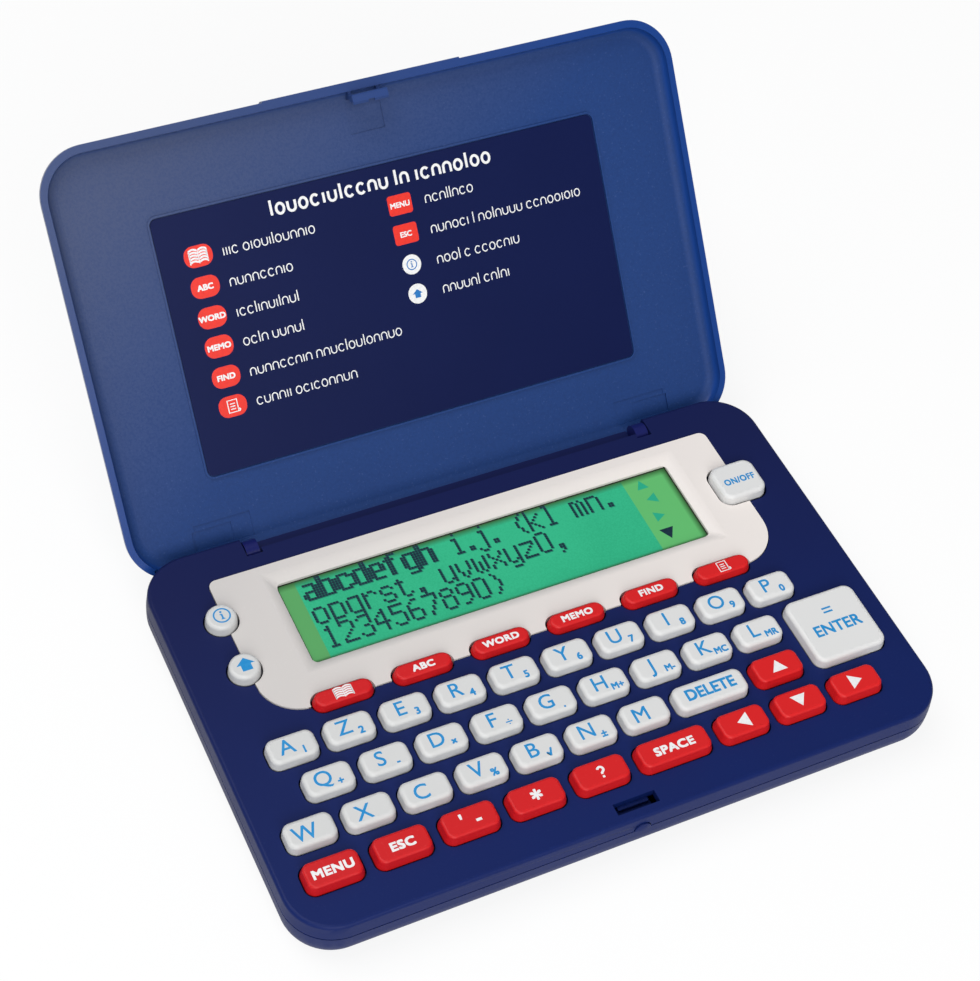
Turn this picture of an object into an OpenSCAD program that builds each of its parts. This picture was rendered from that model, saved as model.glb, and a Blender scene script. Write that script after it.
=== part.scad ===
// Pocket electronic dictionary: a keyboard base with a small display, under a lid on a rear hinge.
// Millimetres, +Z up, +Y towards the hinge, origin on the table under the middle of the base.
// The lid stands open, as it does in use. Each piece is one node.

/* [Base] */
// Width of the base
base_w = 137.7; // [136:0.1:170]
// Depth of the base, from front to hinge side
base_d = 88.6; // [88:0.1:110]
// Height of the key deck above the table
base_h = 12; // [11.8:0.1:16]
// Corner radius of the base, seen from above
base_corner_r = 9.9; // [8:0.1:13.5]
// Wall thickness of both halves
wall = 1.6; // [1.3:0.1:1.8]
// Side height of the upper half, from parting line to deck
upper_side_h = 3.7; // [3.3:0.1:4]
// Edge radius around the deck
deck_edge_r = 0.8; // [0.3:0.1:1]
// Inward draft of the upper half's side
side_draft = 0.25; // [0:0.05:0.4]
// Radius of the curve from the side to the underside
belly_r = 6.1; // [4:0.1:7]
// Groove along the parting line
groove_h = 0.3; // [0.1:0.05:0.4]

/* [Lid] */
// Step from the base's side to the lid's side
lid_side_step = 0.45; // [0.2:0.05:1]
// Step from the base's front to the lid's front
lid_front_step = 0.4; // [0.2:0.05:1]
// Step from the base's rear to the lid's rear
lid_rear_step = 0.75; // [0.6:0.05:1]
// Corner radius of the lid, seen from above
lid_corner_r = 9.9; // [7:0.1:12]
// Thickness of the lid over its rim
lid_h = 4.4; // [4:0.1:5.5]
// Radius of the lid's outer edge
lid_edge_r = 3.8; // [2:0.1:3.9]
// Depth of the tray inside the lid
tray_depth = 2.6; // [2.4:0.1:3]
// Width of the lid's rim
rim_w = 1.35; // [1:0.05:2]
// Width of the rim along the front
front_rim_w = 1.55; // [1.2:0.05:2]
// Fillet inside the tray
tray_fillet_r = 2.4; // [1:0.1:2.4]
// Gap between the closed lid and the deck
lid_gap = 0.25; // [0.15:0.05:0.5]
// Length of the thumb ledge on the lid's front edge
thumb_w = 42.6; // [20:0.1:60]
// How far the thumb ledge stands out
thumb_out = 0.3; // [0.1:0.05:0.4]

/* [Lid label] */
// Width of the label
label_w = 96.9; // [60:0.1:110]
// Depth of the label
label_d = 52.5; // [30:0.1:60]
// Thickness of the label plate
label_t = 0.3; // [0.2:0.05:0.5]
// Corner radius of the label
label_r = 1.3; // [0.5:0.1:4]
// Width of the raised frame around the label
label_frame_w = 0.4; // [0.3:0.1:1]

/* [Hinge] */
// Hinge axis in front of the base's rear
axis_inset = 2.54; // [2.4:0.01:2.8]
// Hinge axis below the deck
axis_drop = 2.28; // [2.2:0.01:2.5]
// Opening angle of the lid
open_angle = 128.65; // [100:0.05:130]
// Middle of each knuckle from the middle of the part
knuckle_x = 44.3; // [38:0.1:46]
// Width of a knuckle
knuckle_w = 2.8; // [2:0.1:4]
// Radius of a knuckle
knuckle_r = 2.35; // [2.2:0.05:2.5]
// Radius of the hinge pins
pin_r = 1.1; // [0.8:0.05:1.4]
// Length of a hinge pin
pin_len = 4.4; // [3:0.1:5]
// Radial clearance of the pin in its ear
pin_clearance = 0.05; // [0.02:0.01:0.1]
// Side clearance of a knuckle in its slot
knuckle_clearance = 0.3; // [0.2:0.05:0.5]
// Gap between the open lid and the base's rear
open_gap = 0.35; // [0.2:0.05:0.6]

/* [Keys] */
// Pitch of the letter keys
key_pitch = 11.5; // [10.5:0.1:12]
// Gap between neighbouring letter keys
key_gap = 1.6; // [1.5:0.1:3]
// Pitch of the key rows
row_pitch = 8.85; // [8.2:0.05:9]
// Gap between key rows
row_gap = 2.75; // [2:0.05:4]
// Corner radius of the letter keys
key_r = 1.9; // [1.2:0.1:2.5]
// Height of the keys above the deck
key_rise = 2.1; // [1:0.1:2.3]
// Height of the function keys above the deck
pill_rise = 1.7; // [0.8:0.1:2]
// Gap around a key in the deck
key_clearance = 0.3; // [0.2:0.05:0.4]
// Gap around the round keys and the power key
wide_clearance = 0.45; // [0.3:0.05:0.6]
// Key travel
key_travel = 1; // [0.6:0.1:1.2]
// Width of the command keys in the front row
command_w = 11.4; // [10:0.1:12]
// Pitch of the command keys
command_pitch = 13.56; // [13.2:0.01:14]
// Width of the arrow keys
arrow_w = 10.8; // [9:0.1:11.5]
// Pitch of the arrow keys
arrow_pitch = 12.8; // [12.6:0.1:13.2]
// Width of the space key
space_w = 15.5; // [12:0.1:15.5]
// Width of the clear key
clear_w = 15.7; // [12:0.1:15.7]
// Width of the enter key
enter_w = 16.2; // [12:0.1:16.4]
// Width of the function keys
pill_w = 12.4; // [10:0.1:14]
// Depth of the function keys
pill_d = 4.1; // [3.2:0.1:4.2]
// Pitch of the function keys
pill_pitch = 16.65; // [15.5:0.01:17]
// Diameter of the two round keys
round_key_d = 8; // [6:0.1:8.5]

/* [Display] */
// Width of the display bezel
bezel_w = 112.4; // [108:0.1:114]
// Depth of the display bezel
bezel_d = 34.6; // [32:0.1:35.5]
// Rise of the bezel over the deck
bezel_rise = 0.3; // [0.1:0.05:0.5]
// Depth of the bezel's seat in the deck
bezel_seat = 1; // [0.8:0.05:1.1]
// Radius of the bezel's front corners
bezel_front_r = 8.7; // [4:0.1:10]
// Width of the display window
window_w = 88.1; // [70:0.1:89]
// Depth of the display window
window_d = 20.2; // [15:0.1:20.4]
// Width of the slope around the window
window_slope_w = 2; // [0.5:0.1:2.5]
// Height of that slope
window_slope_h = 0.7; // [0.2:0.05:0.9]
// Margin of the glass beyond the window
glass_margin = 2.6; // [1.5:0.1:2.8]

/* [Latch] */
// Width of the hook bar under the lid
hook_w = 7.6; // [5:0.1:9]
// Reach of the hook beyond the lid's rim
hook_reach = 3; // [2.9:0.05:3.1]
// Catch of the hook's lip
lip_out = 0.55; // [0.4:0.05:0.6]
// Travel of the release button
button_travel = 1; // [0.7:0.05:1]
// Radius of the half-round release button
button_r = 1.7; // [1.4:0.05:1.7]
// Clearance around the release button
button_clearance = 0.15; // [0.1:0.05:0.3]
// How far the release button stands out
button_rise = 0.45; // [0.2:0.05:0.6]

/* [Inside] */
// Thickness of the circuit board
board_t = 1.2; // [0.8:0.1:1.2]
// Thickness of the rubber key sheet
sheet_t = 0.9; // [0.6:0.1:1]
// Diameter of a coin cell
cell_d = 20; // [18:0.1:20]
// Height of a coin cell
cell_h = 3.2; // [2.5:0.1:3.2]
// Clearance around a coin cell
cell_clearance = 0.3; // [0.2:0.05:0.6]
// Thickness of the battery cover
cover_t = 0.8; // [0.6:0.05:0.9]
// Clearance around the battery cover
cover_clearance = 0.2; // [0.1:0.05:0.4]
// Radius of the screws
screw_r = 0.98; // [0.8:0.01:1.1]
// Radius of the screw heads
screw_head_r = 1.9; // [1.6:0.05:2.1]

/* [Hidden] */
$fn = 64;
over = 0.1;

front_y = -base_d / 2;
rear_y = base_d / 2;
part_z = base_h - upper_side_h;
deck_bottom = base_h - wall;

// Hinge and lid, in the closed pose
axis_y = rear_y - axis_inset;
axis_z = base_h - axis_drop;
lid_z = base_h + lid_gap;
lid_top = lid_z + lid_h;
tray_z = lid_z + tray_depth;
lid_w = base_w - 2 * lid_side_step;
lid_front = front_y + lid_front_step;
lid_rear = rear_y - lid_rear_step;
lid_d = lid_rear - lid_front;
lid_y = (lid_rear + lid_front) / 2;
knuckle_out = knuckle_x + knuckle_w / 2;
ear_in = knuckle_out + knuckle_clearance;
ear_w = pin_len + 0.4;
ear_r = pin_r + 1.05;
trough_y = axis_y - 1.36;
trough_z = part_z + 0.8;
slot_y = axis_y - knuckle_r - 0.2;
hinge_x = -0.5;
notch_in = knuckle_x - knuckle_w / 2 - 1.3;
notch_out = base_w / 2 - 5.3;
notch_h = 1;
label_x = 0.1;
label_y = -0.35;

// Key layout: every key is [x, y, width, depth, corner radius]
key_w = key_pitch - key_gap;
key_d = row_pitch - row_gap;
row_x = [-55.45, -51.85, -59.15];
first_row_y = -6.65;
letters_in_row = [10, 9, 7];
command_x = -58.4;
space_x = 11.4;
clear_x = 24.3;
arrow_x = 39.4;
enter_x = 55.7;
pill_x = -41.8;
pill_y = 1.3;

function row_y(row) = first_row_y - row * row_pitch;
function letter(row, col) = [row_x[row] + col * key_pitch, row_y(row), key_w, key_d, key_r];
function command(col) = [command_x + col * command_pitch, row_y(3), command_w, key_d + 0.1, key_r];
function arrow(col, row) = [arrow_x + col * arrow_pitch, row_y(row), arrow_w, key_d + 0.1, key_r];
function pill(col) = [pill_x + col * pill_pitch, pill_y, pill_w, pill_d, pill_d / 2];
space_key = [space_x, row_y(3), space_w, key_d + 0.1, key_r];
clear_key = [clear_x, row_y(2), clear_w, key_d, key_r];
enter_key = [enter_x, row_y(1.5) + 0.4, enter_w, row_pitch + key_d + 0.9, key_r + 0.4];
info_key = [-57.2, 25.5, round_key_d, round_key_d, round_key_d / 2];
shift_key = [-57.2, 13.1, round_key_d, round_key_d, round_key_d / 2];
power_key = [55.8, 20.4, 10.4, 9.3, 2.4];

letter_keys = [for (row = [0:2], col = [0:letters_in_row[row] - 1]) letter(row, col)];
command_keys = [for (col = [0:4]) command(col)];
arrow_keys = [arrow(-1, 3), arrow(0, 3), arrow(1, 3), arrow(0, 2)];
pills = [for (col = [0:5]) pill(col)];
snug_keys = concat(letter_keys, command_keys, arrow_keys, pills, [space_key, clear_key, enter_key]);
wide_keys = [info_key, shift_key, power_key];
all_keys = concat(snug_keys, wide_keys);

flange_out = 0.5;
flange_top = deck_bottom - 0.3;
flange_bottom = flange_top - 0.7;
dome_top = flange_bottom - 0.3;
dome_h = key_travel + 0.6;
sheet_top = dome_top - dome_h;
board_top = sheet_top - sheet_t;
board_bottom = board_top - board_t;
board_front = row_y(3) - key_d / 2 - 0.4;
board_rear = 33;
board_w = base_w - 2 * wall - 9.5;

// Display
display_x = -0.1;
bezel_front_y = 1.1;
bezel_y = bezel_front_y + bezel_d / 2;
bezel_bottom = base_h - bezel_seat;
bezel_top = base_h + bezel_rise;
window_x = 0.15;
window_y = 20.7;
glass_w = window_w + 2 * glass_margin;
glass_d = window_d + 2 * glass_margin;
glass_top = bezel_bottom - 0.05;
glass_t = 1.6;

// Latch, in the closed pose
hook_x = -0.3;
hook_tip = lid_z - hook_reach;
hook_front = front_y + 2.55;
hook_t = 1.45;
hook_rear = hook_front + hook_t;
lip_h = 0.5;
slot_w = hook_w + 1.2;
slot_front = hook_front - 0.2;
slot_rear = hook_rear + lip_out + 0.3;
button_z = part_z;
slider_bottom = part_z + 0.05;
slider_top = hook_tip - 0.2;
slider_w = 6.4;
catch_front = hook_rear + 0.2;
catch_rear = slot_rear + 1.05;
nose_z = hook_tip + lip_h + 0.12;
leg_bottom = 2.6;
spring_z = 3.75;
spring_r = 1.1;
spring_wire_r = 0.17;
spring_len = 4;
spring_turns = 6;
spring_seat_y = catch_rear + spring_len;

// Screws and their bosses
boss_r = 2.2;
boss_meet = part_z - 1.3;
boss_at = [
  [-(base_w / 2 - 16.85), front_y + 4.2], [base_w / 2 - 16.85, front_y + 4.2],
  [-(base_w / 2 - 9.35), 2.8], [base_w / 2 - 9.35, 2.8],
  [-(base_w / 2 - 8.1), rear_y - 9.9], [base_w / 2 - 8.1, rear_y - 9.9]
];
screw_seat = 2.6;
screw_len = 6.2;

// Battery bay
cell_y = 14;
cell_x = cell_d / 2 + cell_clearance + 1.3;
cell_bottom = wall + 0.1;
bay_r = cell_d / 2 + cell_clearance;
cover_w = 4 * bay_r + 8;
cover_d = 2 * bay_r + 3.4;
cover_tab_x = cover_w / 2 + 0.4;
cover_tab_r = 4;
cover_boss_r = screw_head_r + 0.9;
cover_bottom = 0.1;
cover_top = cover_bottom + cover_t;
cover_tab_top = cover_top + 1.1;
cover_head_h = 1;

// Flat shapes

module round_rect(w, d, r) {
  square([w, d - 2 * r], center = true);
  square([w - 2 * r, d], center = true);
  for (x = [-1, 1], y = [-1, 1])
    translate([x * (w / 2 - r), y * (d / 2 - r)]) circle(r);
}

module stadium(w, r) {
  square([w - 2 * r, 2 * r], center = true);
  for (x = [-1, 1]) translate([x * (w / 2 - r), 0]) circle(r);
}

module quarter(r) {
  intersection() {
    circle(r);
    square([r, r]);
  }
}

// The outline of a key, widened all round by a clearance
module key_outline(key, gap) {
  translate([key[0], key[1]])
    if (key[4] * 2 == key[2]) circle(key[4] + gap);
    else if (key[4] * 2 == key[3]) stadium(key[2] + 2 * gap, key[4] + gap);
    else round_rect(key[2] + 2 * gap, key[3] + 2 * gap, key[4] + gap);
}

// Solids

// A rounded slab: its 2D children are the section of its edge, with x from 0 at the corner's
// centre to r at the outline and y as height
module slab(w, d, r, bottom, top) {
  cx = w / 2 - r;
  cy = d / 2 - r;
  for (x = [0, 1], y = [0, 1])
    mirror([x, 0, 0]) mirror([0, y, 0])
      translate([cx, cy, 0]) rotate_extrude(angle = 90) children();
  for (y = [0, 1])
    mirror([0, y, 0])
      translate([-cx, cy, 0]) rotate([90, 0, 90]) linear_extrude(2 * cx) children();
  if (cy > 0) {
    for (x = [0, 1])
      mirror([x, 0, 0])
        translate([cx, cy, 0]) rotate([90, 0, 0]) linear_extrude(2 * cy) children();
    translate([-cx, -cy, bottom]) cube([2 * cx, 2 * cy, top - bottom]);
  }
}

// The same for a bar with half-round ends
module bar(w, r) {
  half = w / 2 - r;
  for (x = [0, 1])
    mirror([x, 0, 0]) translate([half, 0, 0]) rotate([0, 0, -90]) rotate_extrude(angle = 180) children();
  translate([-half, 0, 0]) rotate([90, 0, 90]) linear_extrude(2 * half) {
    children();
    mirror([1, 0]) children();
  }
}

// The edge section of a cap with drafted sides and a rounded top edge
module cap_section(r, bottom, bend, top, draft, edge) {
  polygon([[0, bottom], [r, bottom], [r, bend], [r - draft, top - edge], [0, top - edge]]);
  translate([0, top - edge]) square([r - draft - edge, edge]);
  translate([r - draft - edge, top - edge]) quarter(edge);
}

module key_cap(key, rise, draft, edge) {
  top = base_h + rise;
  translate([key[0], key[1], 0])
    if (key[4] * 2 == key[2])
      rotate_extrude() cap_section(key[4], flange_top, base_h, top, draft, edge);
    else if (key[4] * 2 == key[3])
      bar(key[2], key[4]) cap_section(key[4], flange_top, base_h, top, draft, edge);
    else
      slab(key[2], key[3], key[4], flange_top, top)
        cap_section(key[4], flange_top, base_h, top, draft, edge);
  translate([0, 0, flange_bottom])
    linear_extrude(flange_top - flange_bottom) key_outline(key, flange_out);
}

module white_key(key) {
  color("whitesmoke") key_cap(key, key_rise, 0.15, 0.9);
}

module red_key(key) {
  color("crimson") key_cap(key, key_rise, 0.35, 0.6);
}

module pill_key(col) {
  color("crimson") key_cap(pill(col), pill_rise, 0.3, 0.6);
}

// Moves a piece of the lid from the closed pose to the open one
module opened() {
  translate([0, axis_y, axis_z]) rotate([-open_angle, 0, 0]) translate([0, -axis_y, -axis_z])
    children();
}

// Everything behind a plane that lies along the open lid's rim, a gap in front of it
module behind_rim(gap) {
  opened() translate([-base_w, -base_d, lid_z - gap]) cube([2 * base_w, 3 * base_d, 3 * base_d]);
}

module along_x(x, w) {
  translate([x, 0, 0]) rotate([90, 0, 90]) linear_extrude(w) children();
}

module both_sides() {
  children();
  mirror([1, 0, 0]) children();
}

module both_hinges() {
  translate([hinge_x, 0, 0]) both_sides() children();
}

// Base

module upper_outer() {
  r = base_corner_r;
  slab(base_w, base_d, r, part_z + groove_h / 2, base_h)
    cap_section(r, part_z + groove_h / 2, part_z + groove_h / 2, base_h, side_draft, deck_edge_r);
}

module upper_inner() {
  w = base_w - 2 * wall;
  d = base_d - 2 * wall;
  r = base_corner_r - wall;
  translate([0, 0, part_z - over]) linear_extrude(deck_bottom - part_z + over) round_rect(w, d, r);
  // Rebate for the lower half's tongue
  translate([0, 0, part_z - over]) linear_extrude(1.3) round_rect(w + wall, d + wall, r + wall / 2);
}

// The deck's rear edge and the wall below it step forward between the knuckles
module rear_step() {
  half = knuckle_x - knuckle_w / 2;
  translate([hinge_x - half, trough_y - wall, part_z + groove_h / 2]) {
    cube([2 * half, wall, upper_side_h - wall]);
    cube([2 * half, rear_y - trough_y + wall - 0.2, trough_z - part_z - groove_h / 2]);
  }
}

module rear_cut() {
  half = knuckle_x - knuckle_w / 2;
  translate([hinge_x - half, trough_y, trough_z]) cube([2 * half, rear_y, upper_side_h]);
  both_hinges()
    translate([half - knuckle_clearance, slot_y, part_z - over])
      cube([knuckle_w + 2 * knuckle_clearance, rear_y, upper_side_h + 2 * over]);
}

// An ear under the deck carries each hinge pin
module ears() {
  both_hinges()
    difference() {
      along_x(ear_in, ear_w) union() {
        translate([axis_y, axis_z]) circle(ear_r);
        translate([axis_y - ear_r, axis_z]) square([2 * ear_r, deck_bottom - axis_z + over]);
      }
      translate([ear_in - 1, axis_y, axis_z]) rotate([0, 90, 0])
        cylinder(r = pin_r + pin_clearance, h = ear_w + 2);
    }
}

module deck_holes() {
  translate([0, 0, deck_bottom - over]) linear_extrude(wall + 2 * over) {
    for (key = snug_keys) key_outline(key, key_clearance);
    for (key = wide_keys) key_outline(key, wide_clearance);
  }
}

module bezel_blank(gap) {
  translate([display_x, bezel_y]) {
    round_rect(bezel_w + 2 * gap, bezel_d + 2 * gap, bezel_front_r + gap);
    translate([0, bezel_front_r / 2])
      round_rect(bezel_w + 2 * gap, bezel_d - bezel_front_r + 2 * gap, 1.6 + gap);
  }
}

module upper_case() {
  color("navy") difference() {
    union() {
      difference() {
        upper_outer();
        upper_inner();
      }
      rear_step();
      ears();
      for (p = boss_at)
        translate([p[0], p[1], boss_meet]) cylinder(r = boss_r, h = deck_bottom - boss_meet + over);
    }
    rear_cut();
    behind_rim(open_gap);
    deck_holes();
    // Seat of the bezel and the window under it
    translate([0, 0, bezel_bottom]) linear_extrude(wall) bezel_blank(0.15);
    translate([window_x, window_y, deck_bottom - over])
      linear_extrude(wall) square([glass_w + 0.5, glass_d + 0.5], center = true);
    // Slot for the lid's hook
    translate([hook_x - slot_w / 2, slot_front, deck_bottom - over])
      cube([slot_w, slot_rear - slot_front, wall + 2 * over]);
    // Half-round hole for the release button
    translate([hook_x, front_y - over, button_z]) rotate([-90, 0, 0])
      cylinder(r = button_r + button_clearance, h = wall + 2 * over);
    for (p = boss_at)
      translate([p[0], p[1], boss_meet - over]) cylinder(r = screw_r + 0.02, h = 3.4);
    both_hinges() translate([ear_in - 1, axis_y, axis_z]) rotate([0, 90, 0])
      cylinder(r = pin_r + pin_clearance, h = ear_w + 1);
  }
}

// Edge section of the lower half: straight sides that curve under
module belly_section(inset, bottom, top) {
  r = base_corner_r - inset;
  bend = belly_r - inset;
  translate([0, belly_r]) square([r, top - belly_r]);
  translate([0, bottom]) square([r - bend, belly_r - bottom]);
  translate([r - bend, belly_r]) mirror([0, 1]) quarter(bend);
}

module belly(inset, bottom, top) {
  slab(base_w - 2 * inset, base_d - 2 * inset, base_corner_r - inset, bottom, top)
    belly_section(inset, bottom, top);
}

// The tongue stands inside the upper half's rebate along the sides and the front
module tongue() {
  w = base_w - 2 * wall;
  d = base_d - 2 * wall;
  r = base_corner_r - wall;
  difference() {
    translate([0, 0, part_z - 1]) linear_extrude(1.9) difference() {
      round_rect(w + wall - 0.3, d + wall - 0.3, r + wall / 2 - 0.15);
      round_rect(w, d, r);
    }
    translate([-base_w, rear_y - 12, 0]) cube([2 * base_w, base_d, 2 * base_h]);
    translate([hook_x - slider_w, front_y, part_z - groove_h]) cube([2 * slider_w, 4 * wall, base_h]);
  }
}

module cover_plan(gap) {
  translate([0, cell_y]) {
    round_rect(cover_w + 2 * gap, cover_d + 2 * gap, 3 + gap);
    translate([cover_tab_x, 0]) circle(cover_tab_r + gap);
  }
}

module cell_plan(r) {
  for (x = [-1, 1]) translate([x * cell_x, cell_y]) circle(r);
}

module lower_case() {
  color("midnightblue") difference() {
    union() {
      difference() {
        belly(0, 0, part_z - groove_h / 2);
        difference() {
          belly(wall, wall, part_z);
          behind_rim(open_gap + wall);
        }
      }
      tongue();
      intersection() {
        belly(0, 0, boss_meet);
        for (p = boss_at) translate([p[0], p[1], 1]) cylinder(r = boss_r, h = boss_meet - 1);
      }
      // Walls around the two cells
      translate([0, 0, wall - over]) linear_extrude(cell_bottom + cell_h - wall) cell_plan(bay_r + 1);
      // Boss of the battery cover's screw
      translate([cover_tab_x, cell_y, wall - over])
        cylinder(r = cover_tab_r, h = cell_bottom + cell_h - wall);
      // Guides of the release slider and the seat of its spring
      for (side = [-1, 1]) {
        translate([hook_x + side * (slider_w / 2 + 0.05) - 0.4, front_y + wall - 0.2, wall - over])
          cube([0.8, 3.3, slider_bottom - 0.1 - wall + over]);
        translate([hook_x + side * (slider_w / 2 + 0.4) - 0.3, front_y + wall - 0.2, wall - over])
          cube([0.6, 3.3, slider_top - wall]);
      }
      translate([hook_x - 2, spring_seat_y, wall - over]) cube([4, 1.2, spring_z + 1 - wall]);
      translate([hook_x, spring_seat_y - 0.9, spring_z]) rotate([-90, 0, 0])
        cylinder(r = spring_r - spring_wire_r - 0.25, h = 1);
    }
    behind_rim(open_gap);
    // Wells and holes of the case screws
    for (p = boss_at) {
      translate([p[0], p[1], -over]) cylinder(r = screw_head_r + 0.2, h = screw_seat + over);
      translate([p[0], p[1], 0]) cylinder(r = screw_r + 0.15, h = base_h);
    }
    // Opening of the battery bay, with a ledge for its cover
    translate([0, 0, -over]) linear_extrude(cover_top + over) cover_plan(cover_clearance);
    translate([0, 0, -over]) linear_extrude(base_h) cell_plan(bay_r);
    translate([cover_tab_x, cell_y, -over])
      cylinder(r = cover_boss_r + cover_clearance, h = cover_tab_top + 0.1 + over);
    translate([cover_tab_x, cell_y, 0]) cylinder(r = screw_r + 0.02, h = cell_bottom + cell_h - 0.4);
    // Notches behind the hinge for the knuckles and ears
    both_hinges()
      translate([knuckle_x - knuckle_w / 2 - knuckle_clearance, slot_y, part_z - 1.5])
        cube([ear_in + ear_w + 0.4 - knuckle_x + knuckle_w / 2 + knuckle_clearance, rear_y, base_h]);
    // Notch under the slider's neck
    translate([hook_x - slider_w / 2 - 0.8, front_y + wall / 2, slider_bottom - 0.1])
      cube([slider_w + 1.6, wall, 2]);
  }
}

// Lid, drawn closed and then opened

module lid_outer() {
  r = lid_corner_r;
  translate([0, lid_y, 0]) slab(lid_w, lid_d, r, lid_z, lid_top) {
    translate([0, lid_z]) square([r, lid_h - lid_edge_r]);
    translate([0, lid_z]) square([r - lid_edge_r, lid_h]);
    translate([r - lid_edge_r, lid_top - lid_edge_r]) quarter(lid_edge_r);
  }
}

// The thumb ledge repeats the edge of the lid a little further out
module thumb_ledge() {
  along_x(hook_x - thumb_w / 2, thumb_w) translate([lid_front - thumb_out + lid_edge_r, lid_z]) {
    translate([-lid_edge_r, 0]) square([lid_edge_r, lid_h - lid_edge_r]);
    translate([0, lid_h - lid_edge_r]) mirror([1, 0]) quarter(lid_edge_r);
  }
}

module lid_tray() {
  r = lid_corner_r - rim_w;
  f = tray_fillet_r;
  d = lid_d - rim_w - front_rim_w;
  translate([0, lid_y + (front_rim_w - rim_w) / 2, 0]) slab(lid_w - 2 * rim_w, d, r, lid_z - over, tray_z) {
    translate([0, lid_z - over]) square([r, tray_depth - f + over]);
    translate([0, lid_z - over]) square([r - f, tray_depth + over]);
    translate([r - f, tray_z - f]) quarter(f);
  }
}

// The knuckles reach down into the base and carry the hinge pins
module knuckles() {
  both_hinges() {
    along_x(knuckle_x - knuckle_w / 2, knuckle_w) union() {
      translate([axis_y, axis_z]) circle(knuckle_r);
      translate([axis_y + 0.2, axis_z]) square([1.4, tray_z - axis_z]);
      // Gusset between the round and the rim
      polygon([
        [axis_y - 0.9, axis_z + 1.9], [axis_y + 0.5, axis_z + 1.9],
        [axis_y + 0.5, lid_z + 1.4], [axis_y + 0.2, lid_z + 1.4]
      ]);
    }
    translate([knuckle_out - over, axis_y, axis_z]) rotate([0, 90, 0])
      cylinder(r = pin_r, h = pin_len + over);
  }
}

// A bar on two ribs from the rim, with a lip towards the hinge and a sloped nose
module hook() {
  rib_w = 0.7;
  foot = tray_z + 0.2;
  for (side = [-1, 1])
    along_x(hook_x + side * (hook_w - 1.5) / 2 - rib_w / 2, rib_w)
      polygon([
        [lid_front + 1, foot], [lid_front + 1, lid_z + 0.3], [hook_front, lid_z + 0.3],
        [hook_front, hook_tip + 1.4], [hook_rear - 0.4, hook_tip + 1.4], [hook_rear - 0.4, foot]
      ]);
  difference() {
    along_x(hook_x - hook_w / 2, hook_w)
      polygon([
        [hook_front, hook_tip + 0.3], [hook_front + 0.3, hook_tip], [hook_rear + 0.1, hook_tip],
        [hook_rear + lip_out, hook_tip + lip_h * 0.6], [hook_rear + lip_out, hook_tip + lip_h],
        [hook_rear, hook_tip + lip_h], [hook_rear, hook_tip + 1.9], [hook_front, hook_tip + 1.9]
      ]);
    translate([hook_x - 0.5, hook_rear, hook_tip - over]) cube([1.3, 2, 3]);
  }
}

module lid_pockets() {
  both_sides() {
    translate([knuckle_x - 2.4, axis_y - 7, tray_z - over]) cube([12, 5.3, 0.2 + over]);
    translate([knuckle_x + 1.8, axis_y - 5.8, tray_z - over]) cube([8.4, 4, 0.4 + over]);
  }
  translate([hook_x - 3.7, lid_front + 4.8, tray_z - over]) cube([7.4, 5.4, 0.2 + over]);
}

module label_plan(gap) {
  round_rect(label_w + 2 * gap, label_d + 2 * gap, label_r + gap);
}

module lid_shell() {
  color("royalblue") opened() difference() {
    union() {
      difference() {
        union() {
          lid_outer();
          thumb_ledge();
        }
        lid_tray();
      }
      knuckles();
      hook();
      translate([label_x, label_y, tray_z - 0.3]) linear_extrude(0.3 + over) difference() {
        label_plan(0.2 + label_frame_w);
        label_plan(0.2);
      }
    }
    // The rear rim is lower beside the knuckles, where the deck passes it
    both_hinges()
      translate([notch_in, axis_y - 1.2, lid_z - over]) {
        cube([knuckle_x - knuckle_w / 2 - notch_in, rear_y, notch_h + over]);
        translate([knuckle_out - notch_in, 0, 0]) cube([notch_out - knuckle_out, rear_y, notch_h + over]);
      }
    lid_pockets();
    translate([label_x, label_y, tray_z - over]) linear_extrude(label_t / 2 + over) label_plan(0.2);
  }
}

module lid_label() {
  color("darkslateblue") opened()
    translate([label_x, label_y, tray_z - label_t / 2]) linear_extrude(label_t) label_plan(0);
}

// Display

module slope_profile(half) {
  slope = window_slope_w + over * window_slope_w / window_slope_h;
  low = bezel_top - window_slope_h;
  high = bezel_top + over;
  polygon([[-half, low], [half, low], [half + slope, high], [-half - slope, high]]);
}

module window_cut() {
  translate([window_x, window_y, bezel_bottom - over])
    linear_extrude(bezel_rise + bezel_seat) square([window_w, window_d], center = true);
  intersection() {
    translate([window_x, window_y + window_d, 0]) rotate([90, 0, 0])
      linear_extrude(2 * window_d) slope_profile(window_w / 2);
    translate([window_x - window_w, window_y, 0]) rotate([90, 0, 90])
      linear_extrude(2 * window_w) slope_profile(window_d / 2);
  }
}

module display_bezel() {
  color("white") difference() {
    translate([0, 0, bezel_bottom]) linear_extrude(bezel_top - bezel_bottom) difference() {
      bezel_blank(0);
      for (key = pills) key_outline(key, key_clearance + 0.1);
      for (key = wide_keys) key_outline(key, wide_clearance);
    }
    window_cut();
  }
}

module display_panel() {
  color("mediumseagreen") {
    translate([window_x - glass_w / 2, window_y - glass_d / 2, glass_top - glass_t])
      cube([glass_w, glass_d, glass_t]);
    // Rubber strips that join the glass to the board
    for (side = [-1, 1])
      translate([window_x - glass_w / 2 + 2, window_y + side * (glass_d / 2 - 1.6) - 0.8, board_top])
        cube([glass_w - 4, 1.6, glass_top - glass_t - board_top]);
  }
}

// Keyboard inside

module sheet_plan() {
  difference() {
    union() {
      translate([-board_w / 2, board_front]) square([board_w, pill_y + pill_d / 2 + 1.5 - board_front]);
      translate([info_key[0] - 5, 0]) square([10, info_key[1] + 5]);
      translate([power_key[0] - 6, 0]) square([12, power_key[1] + 6]);
    }
    for (p = boss_at) translate(p) circle(boss_r + 0.5);
  }
}

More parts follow.
